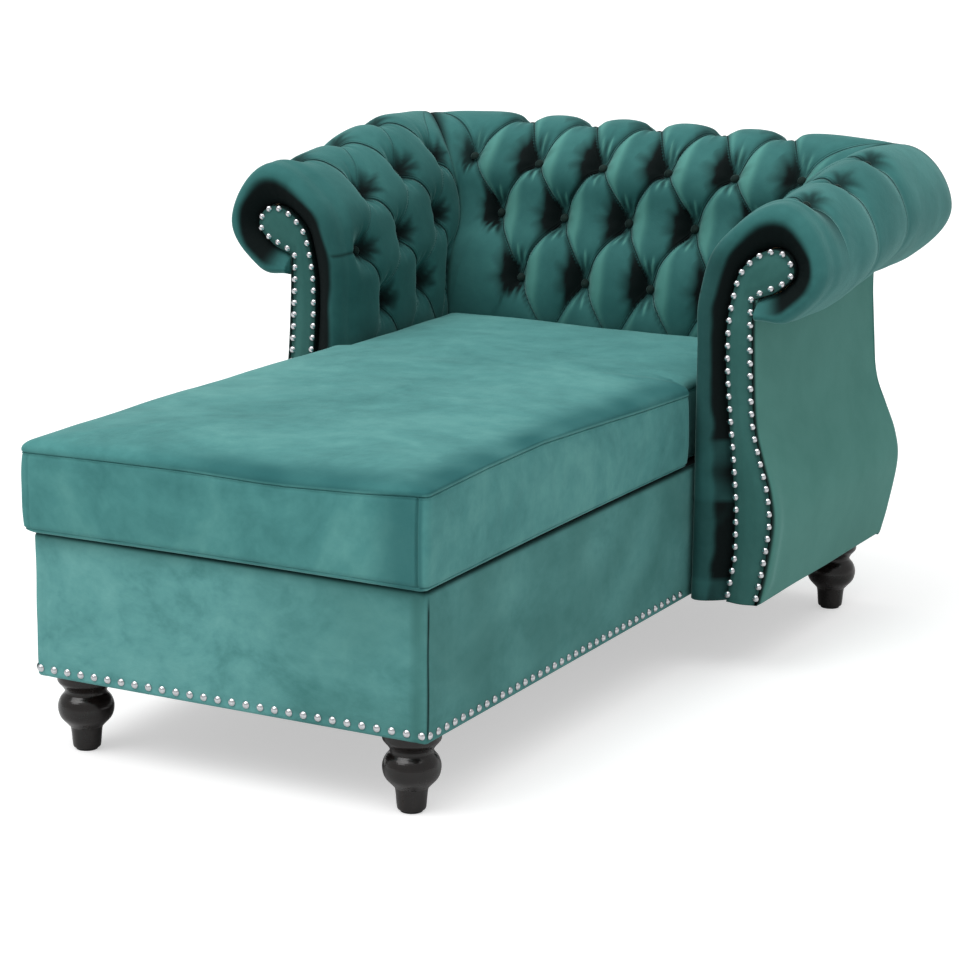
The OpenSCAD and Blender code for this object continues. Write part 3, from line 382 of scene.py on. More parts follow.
def grid_object(name, material, loops, attributes, flip=False):
    """A closed skin from rows of loops, in millimetres, with its first and last row capped."""
    rows, cols = loops.shape[:2]
    i, j = np.meshgrid(np.arange(rows - 1), np.arange(cols), indexing="ij")
    k = (j + 1) % cols
    quads = np.stack([i * cols + j, i * cols + k, (i + 1) * cols + k, (i + 1) * cols + j], -1).reshape(-1, 4)
    caps = (np.arange(cols)[::-1], (rows - 1) * cols + np.arange(cols))
    way = 1 if flip else -1
    faces = quads[:, ::way].tolist() + [cap[::way].tolist() for cap in caps]
    mesh = bpy.data.meshes.new(name)
    mesh.from_pydata((loops.reshape(-1, 3) * MM).tolist(), [], faces)
    mesh.update()
    mesh.polygons.foreach_set("use_smooth", [True] * len(faces))
    for key, values in attributes.items():
        kind, field = ("FLOAT_VECTOR", "vector") if values.ndim == 3 else ("FLOAT", "value")
        layer = mesh.attributes.new(key, kind, "POINT")
        layer.data.foreach_set(field, values.astype(np.float32).ravel())
    mesh.materials.append(material)
    return add_object(name, mesh)


def mirrored(name, source):
    """The same form on the other side of the couch."""
    mesh = source.data.copy()
    mesh.name = name
    mesh.transform(Matrix.Scale(-1, 4, (1, 0, 0)))
    mesh.flip_normals()
    return add_object(name, mesh)


# Materials

NODE = "ShaderNode"
WHITE = (1, 1, 1, 1)
# Near-black of painted shade on the velvet, in pits, creases and seams, as the shader's linear values
NEAR_BLACK = (0.0035, 0.0075, 0.0075)


def lin(r, g, b):
    """Colour written in screen values of 0 to 255, as the shader's linear values."""
    return tuple(((c / 255 + 0.055) / 1.055) ** 2.4 if c > 10 else c / 255 / 12.92 for c in (r, g, b))


def fill(tree, node, inputs):
    """Set a node's inputs to values, or link them to outputs of other nodes."""
    for key, v in inputs.items():
        if isinstance(v, bpy.types.NodeSocket):
            tree.links.new(v, node.inputs[key])
        else:
            node.inputs[key].default_value = v


def add(tree, kind, inputs=None, **settings):
    n = tree.nodes.new(NODE + kind)
    for key, v in settings.items():
        setattr(n, key, v)
    fill(tree, n, inputs or {})
    return n


def empty_tree(data, output):
    """The cleared node tree of a material or a world, and its output node."""
    data.use_nodes = True
    data.node_tree.nodes.clear()
    return data.node_tree, data.node_tree.nodes.new(NODE + output)


def nodes_of(name):
    m = bpy.data.materials.new(name)
    tree, out = empty_tree(m, "OutputMaterial")
    shader = add(tree, "BsdfPrincipled")
    fill(tree, out, {0: shader.outputs[0]})
    return m, tree, shader


def maths(tree, op, a, b):
    return add(tree, "Math", {0: a, 1: b}, operation=op).outputs[0]


def attribute(tree, name):
    return add(tree, "Attribute", attribute_name=name).outputs["Fac"]


def ramp(tree, factor, stops):
    """Screen colours or plain numbers along a factor."""
    n = add(tree, "ValToRGB", {0: factor})
    e = n.color_ramp.elements
    while len(e) < len(stops):
        e.new(0.5)
    for el, (pos, v) in zip(e, stops):
        el.position = pos
        el.color = (*(lin(*v) if isinstance(v, tuple) else (v, v, v)), 1)
    return n.outputs[0]


def noise_at(tree, scale, detail=4, rough=0.55, stretch=(1, 1, 1), distortion=0.0):
    coord = add(tree, "TexCoord").outputs["Object"]
    place = add(tree, "Mapping", {"Vector": coord, "Scale": stretch}).outputs[0]
    n = add(tree, "TexNoise", {"Vector": place, "Scale": scale, "Detail": detail,
                               "Roughness": rough, "Distortion": distortion})
    return n.outputs["Fac"]


def bump(tree, height, strength, distance, before=None):
    """Relief, over an earlier one if there is one. Its distance is in metres."""
    inputs = {"Height": height, "Strength": strength, "Distance": distance}
    if before is not None:
        inputs["Normal"] = before
    return add(tree, "Bump", inputs).outputs[0]


def blend(tree, share, start, colour):
    """From the colour at start to a plain colour, by a share."""
    inputs = {0: share, 6: start, 7: (*colour, 1)}
    return add(tree, "Mix", inputs, data_type="RGBA").outputs[2]


def pleat_lines(tree):
    """Fine folds along both families of pleats, and the dark crack of painted shade in each.

    The mesh's tuft is the place among the buttons and the weight of one family; cross weighs the other."""
    at = add(tree, "Attribute", attribute_name="tuft").outputs["Vector"]
    split = add(tree, "SeparateXYZ", {0: at}).outputs
    folds = [(0, 0), (0.006, 0.1), (0.018, 1), (0.028, 0.4), (0.038, 0.8), (0.06, 0.5), (0.12, 0.5)]
    lines, cracks = [], []
    for op, weight in (("ADD", split[2]), ("SUBTRACT", attribute(tree, "cross"))):
        place = maths(tree, "MULTIPLY", maths(tree, op, split[0], split[1]), 0.5)
        near = maths(tree, "PINGPONG", place, 0.5)
        line = maths(tree, "SUBTRACT", ramp(tree, near, folds), 0.5)
        lines.append(maths(tree, "MULTIPLY", line, weight))
        # painted shade: a dark crack down the middle of each pleat
        crack = ramp(tree, near, [(0, 1), (0.009, 0.85), (0.017, 0)])
        cracks.append(maths(tree, "MULTIPLY", crack, weight))
    return maths(tree, "ADD", *lines), maths(tree, "MAXIMUM", *cracks)


def velvet(name, colours, patch, contrast, sheen, streak=(1, 1, 1), relief_depth=0.35,
           deep=None, lit=None, tufted=False, seam_shade=False):
    """Velvet whose pile lies in patches, with a fine pile grain and a bright sheen at the edges.

    Its mesh says where painted shade takes it to the deep colour and painted highlight to the lit one, and
    where painted shade at seams is near black."""
    m, tree, shader = nodes_of(name)
    dark, mid, light = colours
    big = noise_at(tree, patch, 5, 0.62, streak, 0.6)
    small = noise_at(tree, patch * 5.5, 4, 0.6, streak, 0.3)
    both = maths(tree, "ADD", maths(tree, "MULTIPLY", big, 0.7), maths(tree, "MULTIPLY", small, 0.3))
    colour = ramp(tree, both, [(0.5 - contrast, dark), (0.5, mid), (0.5 + contrast, light)])
    normal = bump(tree, noise_at(tree, 900, 2, 0.6), 0.25, 0.0006)
    normal = bump(tree, noise_at(tree, patch * 3, 4, 0.6, streak, 0.5), relief_depth, 0.004, normal)
    shade = attribute(tree, "shade") if deep else None
    if tufted:
        lines, cracks = pleat_lines(tree)
        normal = bump(tree, lines, 0.9, 0.0022, normal)
        shade = maths(tree, "MAXIMUM", shade, maths(tree, "MULTIPLY", cracks, 0.85))
    # painted highlight, towards the lit colour
    if lit:
        colour = blend(tree, attribute(tree, "lit"), colour, lit)
    # painted shade, towards the deep colour
    if deep:
        colour = blend(tree, shade, colour, deep)
    # painted shadow along seams and in the gaps between parts, near black
    if seam_shade:
        line = attribute(tree, "seam")
        colour = blend(tree, line, colour, NEAR_BLACK)
        shade = line if shade is None else maths(tree, "MAXIMUM", shade, line)
    if shade is not None:
        sheen = maths(tree, "MULTIPLY", maths(tree, "SUBTRACT", 1.0, shade), sheen)
    fill(tree, shader, {"Base Color": colour, "Roughness": 0.82, "Specular IOR Level": 0.12, "Normal": normal,
                        "Sheen Weight": sheen, "Sheen Roughness": 0.34, "Sheen Tint": (0.50, 0.86, 0.82, 1)})
    return m


# deep is the colour of painted shade on each velvet, and lit the colour of painted highlight on the tufted
# one
TUFTED = velvet(
    "velvet_tufted", ((48, 102, 100), (59, 116, 114), (70, 130, 127)), patch=5, contrast=0.2, sheen=0.5,
    deep=NEAR_BLACK, lit=lin(100, 166, 156), tufted=True)
CUSHION = velvet(
    "velvet_cushion", ((64, 124, 123), (80, 143, 141), (98, 160, 156)), patch=6, contrast=0.17, sheen=0.5,
    deep=lin(44, 100, 101))
BORDER = velvet(
    "velvet_base", ((70, 130, 128), (98, 160, 158), (116, 178, 174)), patch=7, contrast=0.18, sheen=0.4,
    streak=(1, 1, 1.3), deep=lin(68, 121, 117), seam_shade=True)
PANEL = velvet(
    "velvet_panel", ((73, 129, 120), (83, 139, 130), (92, 147, 139)), patch=3, contrast=0.22, sheen=0.35,
    relief_depth=0.12, seam_shade=True)
FACING = velvet(
    "velvet_facing", ((50, 97, 92), (60, 108, 103), (70, 118, 113)), patch=6, contrast=0.22, sheen=0.35,
    relief_depth=0.2, seam_shade=True)
BUTTON = velvet(
    "velvet_button", ((22, 36, 34), (31, 46, 43), (44, 60, 56)), patch=40, contrast=0.2, sheen=0.25)


def hard(name, grain, colours, rough, relief, strength, distance, **inputs):
    """Colour over a grain, roughness from noise or a number, and relief from noise or else the grain."""
    m, tree, shader = nodes_of(name)
    tone = noise_at(tree, *grain)
    if isinstance(rough, tuple):
        rough = ramp(tree, noise_at(tree, *rough[0]), rough[1])
    height = noise_at(tree, *relief) if relief else tone
    fill(tree, shader, {"Base Color": ramp(tree, tone, colours), "Roughness": rough,
                        "Normal": bump(tree, height, strength, distance)})
    fill(tree, shader, {key.replace("_", " "): v for key, v in inputs.items()})
    return m


WOOD = hard(
    "stained_wood", (60, 5, 0.6, (1, 1, 0.12), 1.2),
    [(0.3, (15, 12, 11)), (0.6, (24, 19, 17)), (0.8, (34, 27, 23))],
    ((35, 4), [(0.3, 0.22), (0.7, 0.36)]), None, 0.12, 0.0006,
    Specular_IOR_Level=0.3, Coat_Weight=0.45, Coat_Roughness=0.12)
NICKEL = hard(
    "bright_nickel", (300, 3), [(0.3, (206, 208, 212)), (0.7, (236, 237, 240))],
    ((500, 3), [(0.3, 0.14), (0.7, 0.26)]), (700, 2), 0.08, 0.0003, Metallic=1)
STEEL = hard(
    "zinc_plate", (90, 4), [(0.3, (150, 152, 156)), (0.7, (196, 198, 202))],
    ((160, 3), [(0.3, 0.3), (0.7, 0.5)]), (240, 2), 0.1, 0.0004, Metallic=1)
TIMBER = hard(
    "sawn_timber", (22, 6, 0.65, (0.25, 0.25, 2.2), 1.6),
    [(0.3, (176, 138, 92)), (0.52, (206, 170, 122)), (0.75, (222, 190, 146))], 0.75, None, 0.25, 0.0012)
PLASTIC = hard(
    "black_plastic", (120, 4), [(0.3, (22, 22, 23)), (0.7, (38, 38, 40))],
    ((90, 4), [(0.3, 0.45), (0.7, 0.7)]), (600, 2), 0.2, 0.0004)


def threads(tree, scale):
    """Height of a plain weave: threads across threads."""
    coord = add(tree, "TexCoord").outputs["Object"]
    inputs = {"Vector": coord, "Scale": scale, "Distortion": 0.4, "Detail": 1.0}
    x, y, z = (add(tree, "TexWave", inputs, bands_direction=d).outputs["Fac"] for d in "XYZ")
    return maths(tree, "MULTIPLY", maths(tree, "ADD", maths(tree, "ADD", x, y), z), 0.333)


def cells(tree, scale):
    """Height of the open cells of foam."""
    coord = add(tree, "TexCoord").outputs["Object"]
    return add(tree, "TexVoronoi", {"Vector": coord, "Scale": scale}).outputs["Distance"]


def soft(name, surface, scale, colours, slow, shares, rough, strength, distance):
    """A surface over a slow change of colour, mixed by two shares."""
    m, tree, shader = nodes_of(name)
    height = surface(tree, scale)
    change = maths(tree, "MULTIPLY", noise_at(tree, slow, 4), shares[0])
    tone = maths(tree, "ADD", change, maths(tree, "MULTIPLY", height, shares[1]))
    fill(tree, shader, {"Base Color": ramp(tree, tone, list(zip((0.25, 0.5, 0.75), colours))),
                        "Roughness": rough, "Normal": bump(tree, height, strength, distance)})
    return m


def woven(name, scale, *colours):
    return soft(name, threads, scale, colours, 25, (0.6, 0.4), 0.9, 0.5, 0.0008)


def foam(name, scale, *colours):
    return soft(name, cells, scale, colours, 18, (0.7, 0.3), 0.95, 0.6, 0.0012)


JUTE = woven("jute_webbing", 160, (120, 92, 58), (150, 118, 78), (176, 144, 100))
LINING = woven("black_lining", 320, (22, 22, 24), (30, 30, 33), (42, 42, 45))
FOAM = foam("cream_foam", 420, (222, 206, 160), (238, 224, 182), (246, 236, 202))
WADDING = foam("white_wadding", 160, (214, 212, 204), (232, 230, 222), (244, 243, 238))

SLOT_MATERIALS = {
    "dark_wood": WOOD, "glide": PLASTIC, "bright_nails": NICKEL, "zinc_steel": STEEL, "button_velvet": BUTTON,
    "jute": JUTE, "foam": FOAM, "wadding": WADDING, "lining": LINING, "timber": TIMBER,
    "cushion_velvet": CUSHION, "base_velvet": BORDER, "tufted_velvet": TUFTED, "panel_velvet": PANEL,
}
slot_of = {s["node"]: s["material_slot"] for s in frame["record"]["subparts"]}
for name, ob in frame["nodes"].items():
    ob.data.materials.clear()
    ob.data.materials.append(SLOT_MATERIALS[slot_of[name]])
    for poly in ob.data.polygons:
        poly.material_index = 0


# Arm covers

arm_half = arm_pitch / 2
first_y = arm_y + first_button
# Padded ring on the arm front: inset and forward reach, as shares
ring_shares = np.array([(0, -0.9), (0.03, -0.1), (0.13, 0.66), (0.28, 1), (0.46, 0.86),
                        (0.64, 0.42), (0.82, -0.2), (0.96, -0.85), (0.985, -1.0)])
ring_steps = 34
ring_shape = curve(ring_shares, np.linspace(len(ring_shares) - 1, 0, ring_steps))
ring_in = np.clip(ring_shape[:, 0], 0, 1)
ring_front = arm_y - ring_shape[:, 1] * ring_bulge
# Points of a loop that lie behind the cover's layer, and those up to the end of an arm's ring
BEHIND = 4
RING_END = BEHIND + ring_steps

# Places on an arm cover: rows of the scroll, places along it in half pitches and the way to the seam
front_a = -1.96
ARM_T = np.maximum(T_ROWS, 0)[:, None]
ARM_A = np.concatenate([np.linspace(front_a, -1, SUB, endpoint=False),
                        np.linspace(-1, 4, 5 * SUB, endpoint=False), np.linspace(4, 5, int(1.4 * SUB))])
ARM_C = np.clip(ARM_A - 4, 0, 1) ** seam_power
# The buttoning starts at the first button, and the outer side of the roll is plain towards the front
BUTTONED = smooth((ARM_A + 1 + 0.8) / 0.8)
PLAIN = (mix(mix(0.92, 0.4, rise(ARM_A, -0.55, 0.7)), 0.6, rise(ARM_A, 2.2, 0.5))
         * rise(ARM_T, 4.1, 1))
# The crease from the first button of the second row to the front
crease_row = 2.0
crease_start = -0.9
crease_end = -1.95
crease_depth = 2.2


def arm_rise(y):
    start, stop = rise_shares
    return smooth(((y - arm_y) / (back_in - arm_y) - start) / (stop - start))


def arm_ring(seed):
    """The padded ring on an arm front, wrinkled round its head."""
    t = ARM_T[:, 0]
    outer, deep = inset("arm", t, 0), ring_edge(t)
    p = outer[:, None, :] + (deep - outer)[:, None, :] * ring_in[:, None]
    head = rise(ARM_T, 2.2, 1.2) * np.sin(np.pi * ring_in)
    y = ring_front + 1.2 * hills(ARM_T * 9, ring_in * 1.2, seed) * head
    return np.stack([p[..., 0], y, p[..., 1]], -1)


def arm_side(seed):
    """The buttoned side of an arm, from the ring to the seam with the back."""
    t, a, c = ARM_T, ARM_A, ARM_C
    end = seam(t[:, 0], seam_dip) - np.array([0, fit_gap, 0])
    corner_y, end_y = seam(t[:, 0], 0)[:, 1:2], end[:, 1:2]
    y = spaced(a + 1, first_y, arm_half, corner_y, end_y, c)
    h = mix(tufts(np.maximum(a, -1), rows_up(t), seed, low=1, cross=0.6), 0.55 * lobe, PLAIN)
    unbuttoned = lobe * mix(0.75, 0.45, rise(t, 3, 2))
    h = mix(unbuttoned, h, BUTTONED) * relief(t, roll_relief_shares[0]) * arc(c)
    h = h * mix(rise(a, front_a, 0.5), 1, BUTTONED)
    crease = bell(t - crease_row, 0.035) * smooth((crease_start - a) / 0.2) * rise(a, crease_end, 0.4)
    h = h - crease_depth * crease
    q = inset("arm", t, -h - loose_folds(y, t, seed) * arc(c), arm_rise(y))
    surface = np.stack([q[..., 0] - corner_in(t, end_y - y), y, q[..., 1]], -1)
    return tied(surface, end[:, None, :], c)


def lay_foot(rows):
    """Below the deck only the ring goes on, in front of the board."""
    foot = curve(FOOT, (1 + T_ROWS[:SUB]) * (len(FOOT) - 1))
    rear = flange_y - 2 * fit_gap
    rows[:, :BEHIND - 1, 0] = arm_in + cover_t * np.array([0.3, 0.6, 1])
    rows[:, BEHIND - 1, 0] = foot[:, 0]
    rows[:, :BEHIND, 1] = rear, rear, flange_y, flange_y
    rows[:, BEHIND:RING_END, 0] = mix(arm_in, foot[:, :1], ring_in)
    rows[:, BEHIND:RING_END, 1] = ring_front
    rows[:, RING_END:, 0] = arm_in
    rows[:, RING_END:, 1] = mix(ring_front[-1], flange_y, np.linspace(0, 1, len(ARM_A) + 1)[1:])
    rows[..., 2] = foot[:, 1:]


def arm_tones(height, seed, valley_shade_low, seam_wide, inner_dark):
    """Places of an arm's pleats, and where painted shade darkens it. The heights are those of its ring."""
    t, a, c = ARM_T, ARM_A, ARM_C
    places = (len(T_ROWS), RING_END + len(a))
    tuft, shade = np.zeros((*places, 3)), np.zeros(places)
    tuft[:, RING_END:, 0] = np.maximum(a, -1)
    tuft[:, RING_END:, 1] = pleat_rows(rows_up(t))
    weight = BUTTONED * smooth(t) * fall(t, 4.2, 1.6) * (1 - tie(c)) * (1 - PLAIN)
    tuft[:, RING_END:, 2] = weight
    # painted shade: the ring is black in the valley beside its seam, most on top of the head
    head_z, middle_z, low_z = 335, 245, 130
    patch = 0.5 + 0.9 * hills(height / 34, ring_in * 1.5, seed + 9)
    wide = mix(valley_shade_low, 0.24, rise(t, 2.6, 1))
    valley = smooth((ring_in - wide + 0.10 * (patch - 0.5)) / 0.24) * (1 - 0.9 * rise(t, 6.0, 0.9))
    valley = np.maximum(valley, (inner_dark + 0.06) * fall(t, 2.4, 1))
    low_tone = np.where((height < middle_z) & (height > low_z), 0.85, 0.5) + patch * 0.4
    valley = valley * np.where(height > head_z, 1, np.clip(low_tone, 0, 1))
    # painted shade along the crease from the first button of the second row
    crease = 0.75 * bell(t - crease_row, 0.03)
    shade[:, BEHIND:RING_END] = np.maximum(valley, crease * fall(ring_in, 0.1, 0.2))
    # painted shade in the pits, on the lower inner face and beside the seam
    black = pit_shade(a, rows_up(t), seed, wide=0.42, high=0.22, off=0.13) * mix(1, 0.85, smooth(t - 3))
    inner = np.maximum(inner_dark * fall(t, 2.4, 1.2), seam_dark(t, c, seam_wide))
    shade[:, RING_END:] = np.maximum(np.maximum(black, inner), crease * smooth((crease_start - a) / 0.2))
    return {"tuft": tuft, "cross": 0.4 * tuft[..., 2], "shade": shade}


def arm_cover(name, seed, valley_shade_low, seam_wide, inner_dark):
    """Its loops run from the rear seam behind the cover to the ring, and along its side back to the seam."""
    t = ARM_T[:, 0]
    rear = seam(t, cover_t) - np.array([0, fit_gap, 0])
    flat, deep = inset("arm", t, cover_t), ring_edge(t)
    behind = ((flat, frame_y), (flat, flange_y), (deep, flange_y))
    behind = [rear] + [np.insert(p, 1, y, axis=1) for p, y in behind]
    loops = np.concatenate([np.stack(behind, 1), arm_ring(seed), arm_side(seed)], 1)
    lay_foot(loops[:SUB])
    tones = arm_tones(loops[:, BEHIND:RING_END, 2], seed, valley_shade_low, seam_wide, inner_dark)
    return grid_object(name, TUFTED, loops, tones)


right_arm = arm_cover("right_arm_velvet", 3, valley_shade_low=0.42, seam_wide=0.2, inner_dark=0.42)
left_source = arm_cover("left_source", 11, valley_shade_low=0.12, seam_wide=0.45, inner_dark=0.22)
left_arm = mirrored("left_arm_velvet", left_source)
bpy.data.objects.remove(left_source)


# Back cover

back_half = back_pitch / 2
# Its buttons, and the pleats on which the buttoning ends on either side
back_limits = dict(first=-4, last=6, ends=(-1, 2))


def back_tones(t, a, c, slope, edge, seed):
    """Places of the back's pleats, and where painted shade darkens it or painted highlight lightens it.

    Painted shade is black left of each button and on the faces that turn to the right of the couch, and
    painted highlight lies on the faces that turn to the left, off the pleats."""
    place, row = a + 1, rows_up(t)
    p, q = (place + pleat_rows(row)) / 2, (place - pleat_rows(row)) / 2
    weight = smooth(t) * fall(t, 4.6, 1.6) * (1 - tie(c)) * mix(1, 0.8, smooth(np.abs(a) - 4))
    places = (len(t), BEHIND + a.shape[1])
    tuft, cross, shade, lit = np.zeros((*places, 3)), np.zeros(places), np.zeros(places), np.zeros(places)
    tuft[:, BEHIND:, 0] = place
    tuft[:, BEHIND:, 1] = pleat_rows(row)
    tuft[:, BEHIND:, 2] = weight * fall(q, 2.04, 0.04) * (1 - smooth((-1.03 - p) / 0.03))
    cross[:, BEHIND:] = weight * (1 - smooth((-1.04 - p) / 0.04)) * fall(q, 2.03, 0.03)
    black = pit_shade(place, row, seed, wide=0.34, high=0.22, off=-0.2, **back_limits)
    wide = pit_shade(place, row, seed + 2, wide=0.62, high=0.36, off=-0.22, **back_limits)
    # painted shade on the faces that turn to the right, away from the light
    turned = smooth(-slope / 0.75) * 0.72 * smooth(t) * fall(t, 3.3, 0.8)
    dark = np.maximum(black * 0.98, turned + 0.55 * wide) * edge * fall(t, 3.7, 0.7)
    # painted shade low on the back and beside the seams
    low = np.maximum(0.2 * fall(t, 2.4, 1.4), seam_dark(t, c, np.where(a < 0, 0.45, 0.2)))
    shade[:, BEHIND:] = np.maximum(np.clip(dark, 0, 1), low)
    # painted highlight on the faces that turn to the left
    pleat_away = np.minimum(np.abs(p - np.round(p)), np.abs(q - np.round(q)))
    glow = rise(slope, 0.06, 0.2) * rise(pleat_away, 0.015, 0.075)
    lit[:, BEHIND:] = 0.75 * glow * smooth(t) * fall(t, 3.4, 0.8) * edge
    return {"tuft": tuft, "cross": cross, "shade": shade, "lit": lit}


def back_cover(name, seed):
    """Its loops run from left to right behind the layer, and back along its buttoned side."""
    t = T_ROWS[SUB:][:, None]
    wing = np.linspace(6, 5, int(1.2 * SUB), endpoint=False)
    a = np.concatenate([wing, np.linspace(5, -5, 10 * SUB + 1), -wing[::-1]])[None, :]
    m, side = np.abs(a), np.sign(a)
    c = np.clip(m - 5, 0, 1) ** seam_power
    end = seam(t[:, 0], seam_dip) - np.array([fit_gap, 0, 0])
    x = spaced(m, 0, back_half, seam(t[:, 0], 0)[:, :1], end[:, :1], c)
    edge = mix(1, 0.75, smooth(m - 4)) * arc(c)
    h = tufts(a + 1, rows_up(t), seed, low=6.5, **back_limits) * edge * relief(t, roll_relief_shares[1])
    q = inset("back", t, -h - loose_folds(side * x, t, seed) * edge)
    surface = np.stack([side * x, q[..., 0] - corner_in(t, end[:, :1] - x), q[..., 1]], -1)
    ends = np.stack(np.broadcast_arrays(side * end[:, :1], end[:, 1:2], end[:, 2:]), -1)
    rear, flat = seam(t[:, 0], cover_t) - np.array([fit_gap, 0, 0]), inset("back", t[:, 0], cover_t)
    inner = np.column_stack([rear[:, 0] - 3 * corner_round, flat])
    left = np.array([-1, 1, 1])
    loops = np.concatenate([np.stack([rear * left, inner * left, inner, rear], 1), tied(surface, ends, c)], 1)
    slope = np.gradient(h, axis=1) / np.gradient(side * x, axis=1)
    return grid_object(name, TUFTED, loops, back_tones(t, a, c, slope, edge, seed))


back = back_cover("back_velvet", 7)


# Outlines seen from above: points with their outward directions

def straight(x, y, out):
    points = np.stack(np.broadcast_arrays(x, y), -1)
    return points, np.tile(np.array(out, float), (len(points), 1))


def quarter_turn(x, y, radius, start, steps):
    s = np.radians(start + np.linspace(0, 90, steps + 1))
    out = np.column_stack([np.cos(s), np.sin(s)])
    return np.array([x, y]) + radius * out, out


def joined(parts):
    return [np.concatenate(column) for column in zip(*parts)]


# Seat cushion

cushion_z = deck_z + fit_gap
cushion_front = base_front - cushion_over
cushion_clear = lobe + cushion_swell + 2 * fit_gap
rear_ease, arm_ease = 2.8, 1.7
cushion_rear = back_in - cushion_clear - rear_ease
cushion_wide = half_w + cushion_side
cushion_narrow = arm_in - cushion_clear - arm_ease
# The cushion steps in over a short notch, right in front of the arms
notch_share = 0.6
notch = notch_share * cushion_r
corner_r = 9
low_seam_share, high_seam_share = 0.07, 0.957


def half_cushion(y):
    return mix(cushion_wide, cushion_narrow, smooth((y - ring_y + notch) / (notch - 4 * fit_gap)))


def cushion_outline():
    """Dense beside the cushion's corners and round its notches."""
    steps_side, steps_end, steps_turn = 150, 90, 10
    y0, y1 = cushion_front + corner_r, cushion_rear - corner_r
    ys = np.concatenate([np.linspace(y0, ring_y - notch, steps_side)[1:],
                         ring_y - notch + notch * np.arange(1, 15) / 14,
                         np.linspace(ring_y, y1, steps_side // 3)[1:-1]])
    dense_share = 0.045
    close = np.linspace(0, dense_share, 19)
    across = np.concatenate([close[1:], np.linspace(dense_share, 1 - dense_share, steps_end)[1:-1],
                             1 - close[:0:-1]])

    def turn(y, side, start):
        return quarter_turn(side * (half_cushion(y) - corner_r), y, corner_r, start, steps_turn)

    def end(y, out):
        reach = out * (half_cushion(y) - corner_r)
        return straight(mix(reach, -reach, across), y - out * cushion_draw * np.sin(np.pi * across), (0, out))

    def flank(places, side):
        draw = cushion_draw * np.sin(np.pi * (places - y0) / (y1 - y0))
        return straight(side * (half_cushion(places) - draw), places, (side, 0))

    return joined([turn(y0, -1, 180), end(cushion_front, -1), turn(y0, 1, 270), flank(ys, 1),
                   turn(y1, 1, 0), end(cushion_rear, 1), turn(y1, -1, 90), flank(ys[::-1], -1)])


def cushion_rise(x, y):
    """How far the upper seam lies over the box: the filling lifts it most on the right, near the front."""
    s = (x + cushion_wide) / (2 * cushion_wide)
    u = (y - cushion_front) / (ring_y - cushion_front)
    # rises along the front, the right side, the left side and the rear
    rises = (np.interp(s, [0, 0.23, 0.41, 0.6, 0.67, 0.85, 0.95, 1], [3, 5, 6, 4, 4.5, 9.5, 14, 16]),
             np.interp(u, [0, 0.2, 0.4, 0.57, 0.8, 1], [16, 20, 21, 15, 6, 1]),
             np.interp(u, [0, 0.2, 0.4, 0.6, 0.8, 1], [3, 6, 8, 7, 4, 1]), 0)
    away = (y - cushion_front, cushion_wide - x, cushion_wide + x, cushion_rear - y)
    weights = [np.exp(-np.maximum(d, 0) / 22) for d in away]
    return sum(w * v for w, v in zip(weights, rises)) / sum(weights)


def cushion_levels():
    """Loops from the middle of the underside to the middle of the crown.

    Each has its inset, its height as a share of the boxed side, and its height over the side."""
    under = [(250, 0), (120, 0), (40, 0), (16, 0), (8, 0.018), (4.4, 0.036), (2.3, 0.05), (1.2, 0.062),
             (2.6, low_seam_share), (1, 0.08)]
    side = [(0.2 - 2.0 * math.sin(math.pi * (v - low_seam_share) / 0.87) ** 0.6, v)
            for v in np.linspace(0.092, 0.925, 26)]
    upper = [(0.4, 0.936), (0, 0.945), (-0.3, 0.952), (2.1, high_seam_share), (2.4, 0.961), (0, 0.967),
             (-0.8, 0.978)]
    crown = [(-0.8, 0), (-0.4, 2.2), (0.5, 4.4), (2, 6.6), (4.2, 8.8), (7.4, 11), (11.6, 12.9), (17, 14.6),
             (25, 16.4), (36, 18.3), (50, 20.2), (68, 22), (90, 23.6), (116, 25), (146, 26.2), (176, 27),
             (206, 27.5), (236, 27.8), (262, 28), (284, 28)]
    levels = [(d, v, 0) for d, v in under + side + upper] + [(d, 1, w) for d, w in crown]
    return np.array(levels, float)


def cushion_shade(x, y, box):
    """Painted shade: the velvet is darker along the front and the right of the top, and at the right of the
    front side.
    """
    share = (x + cushion_wide) / (2 * cushion_wide)
    ahead, beside = y - cushion_front, cushion_wide - x
    top = box >= 1
    dark = 0.85 * bell(ahead - 12, 34) * rise(share, 0.22, 0.35) * top
    dark = np.maximum(dark, 0.85 * bell(beside - 14, 40) * top * (y < ring_y))
    dark = dark * (1 + 0.5 * hills(x / 70, y / 70, 95))
    corner = rise(share, 0.84, 0.1) * fall(share, 0.985, 0.01)
    return np.maximum(dark, 0.7 * corner * (box < 1) * (ahead < 14))


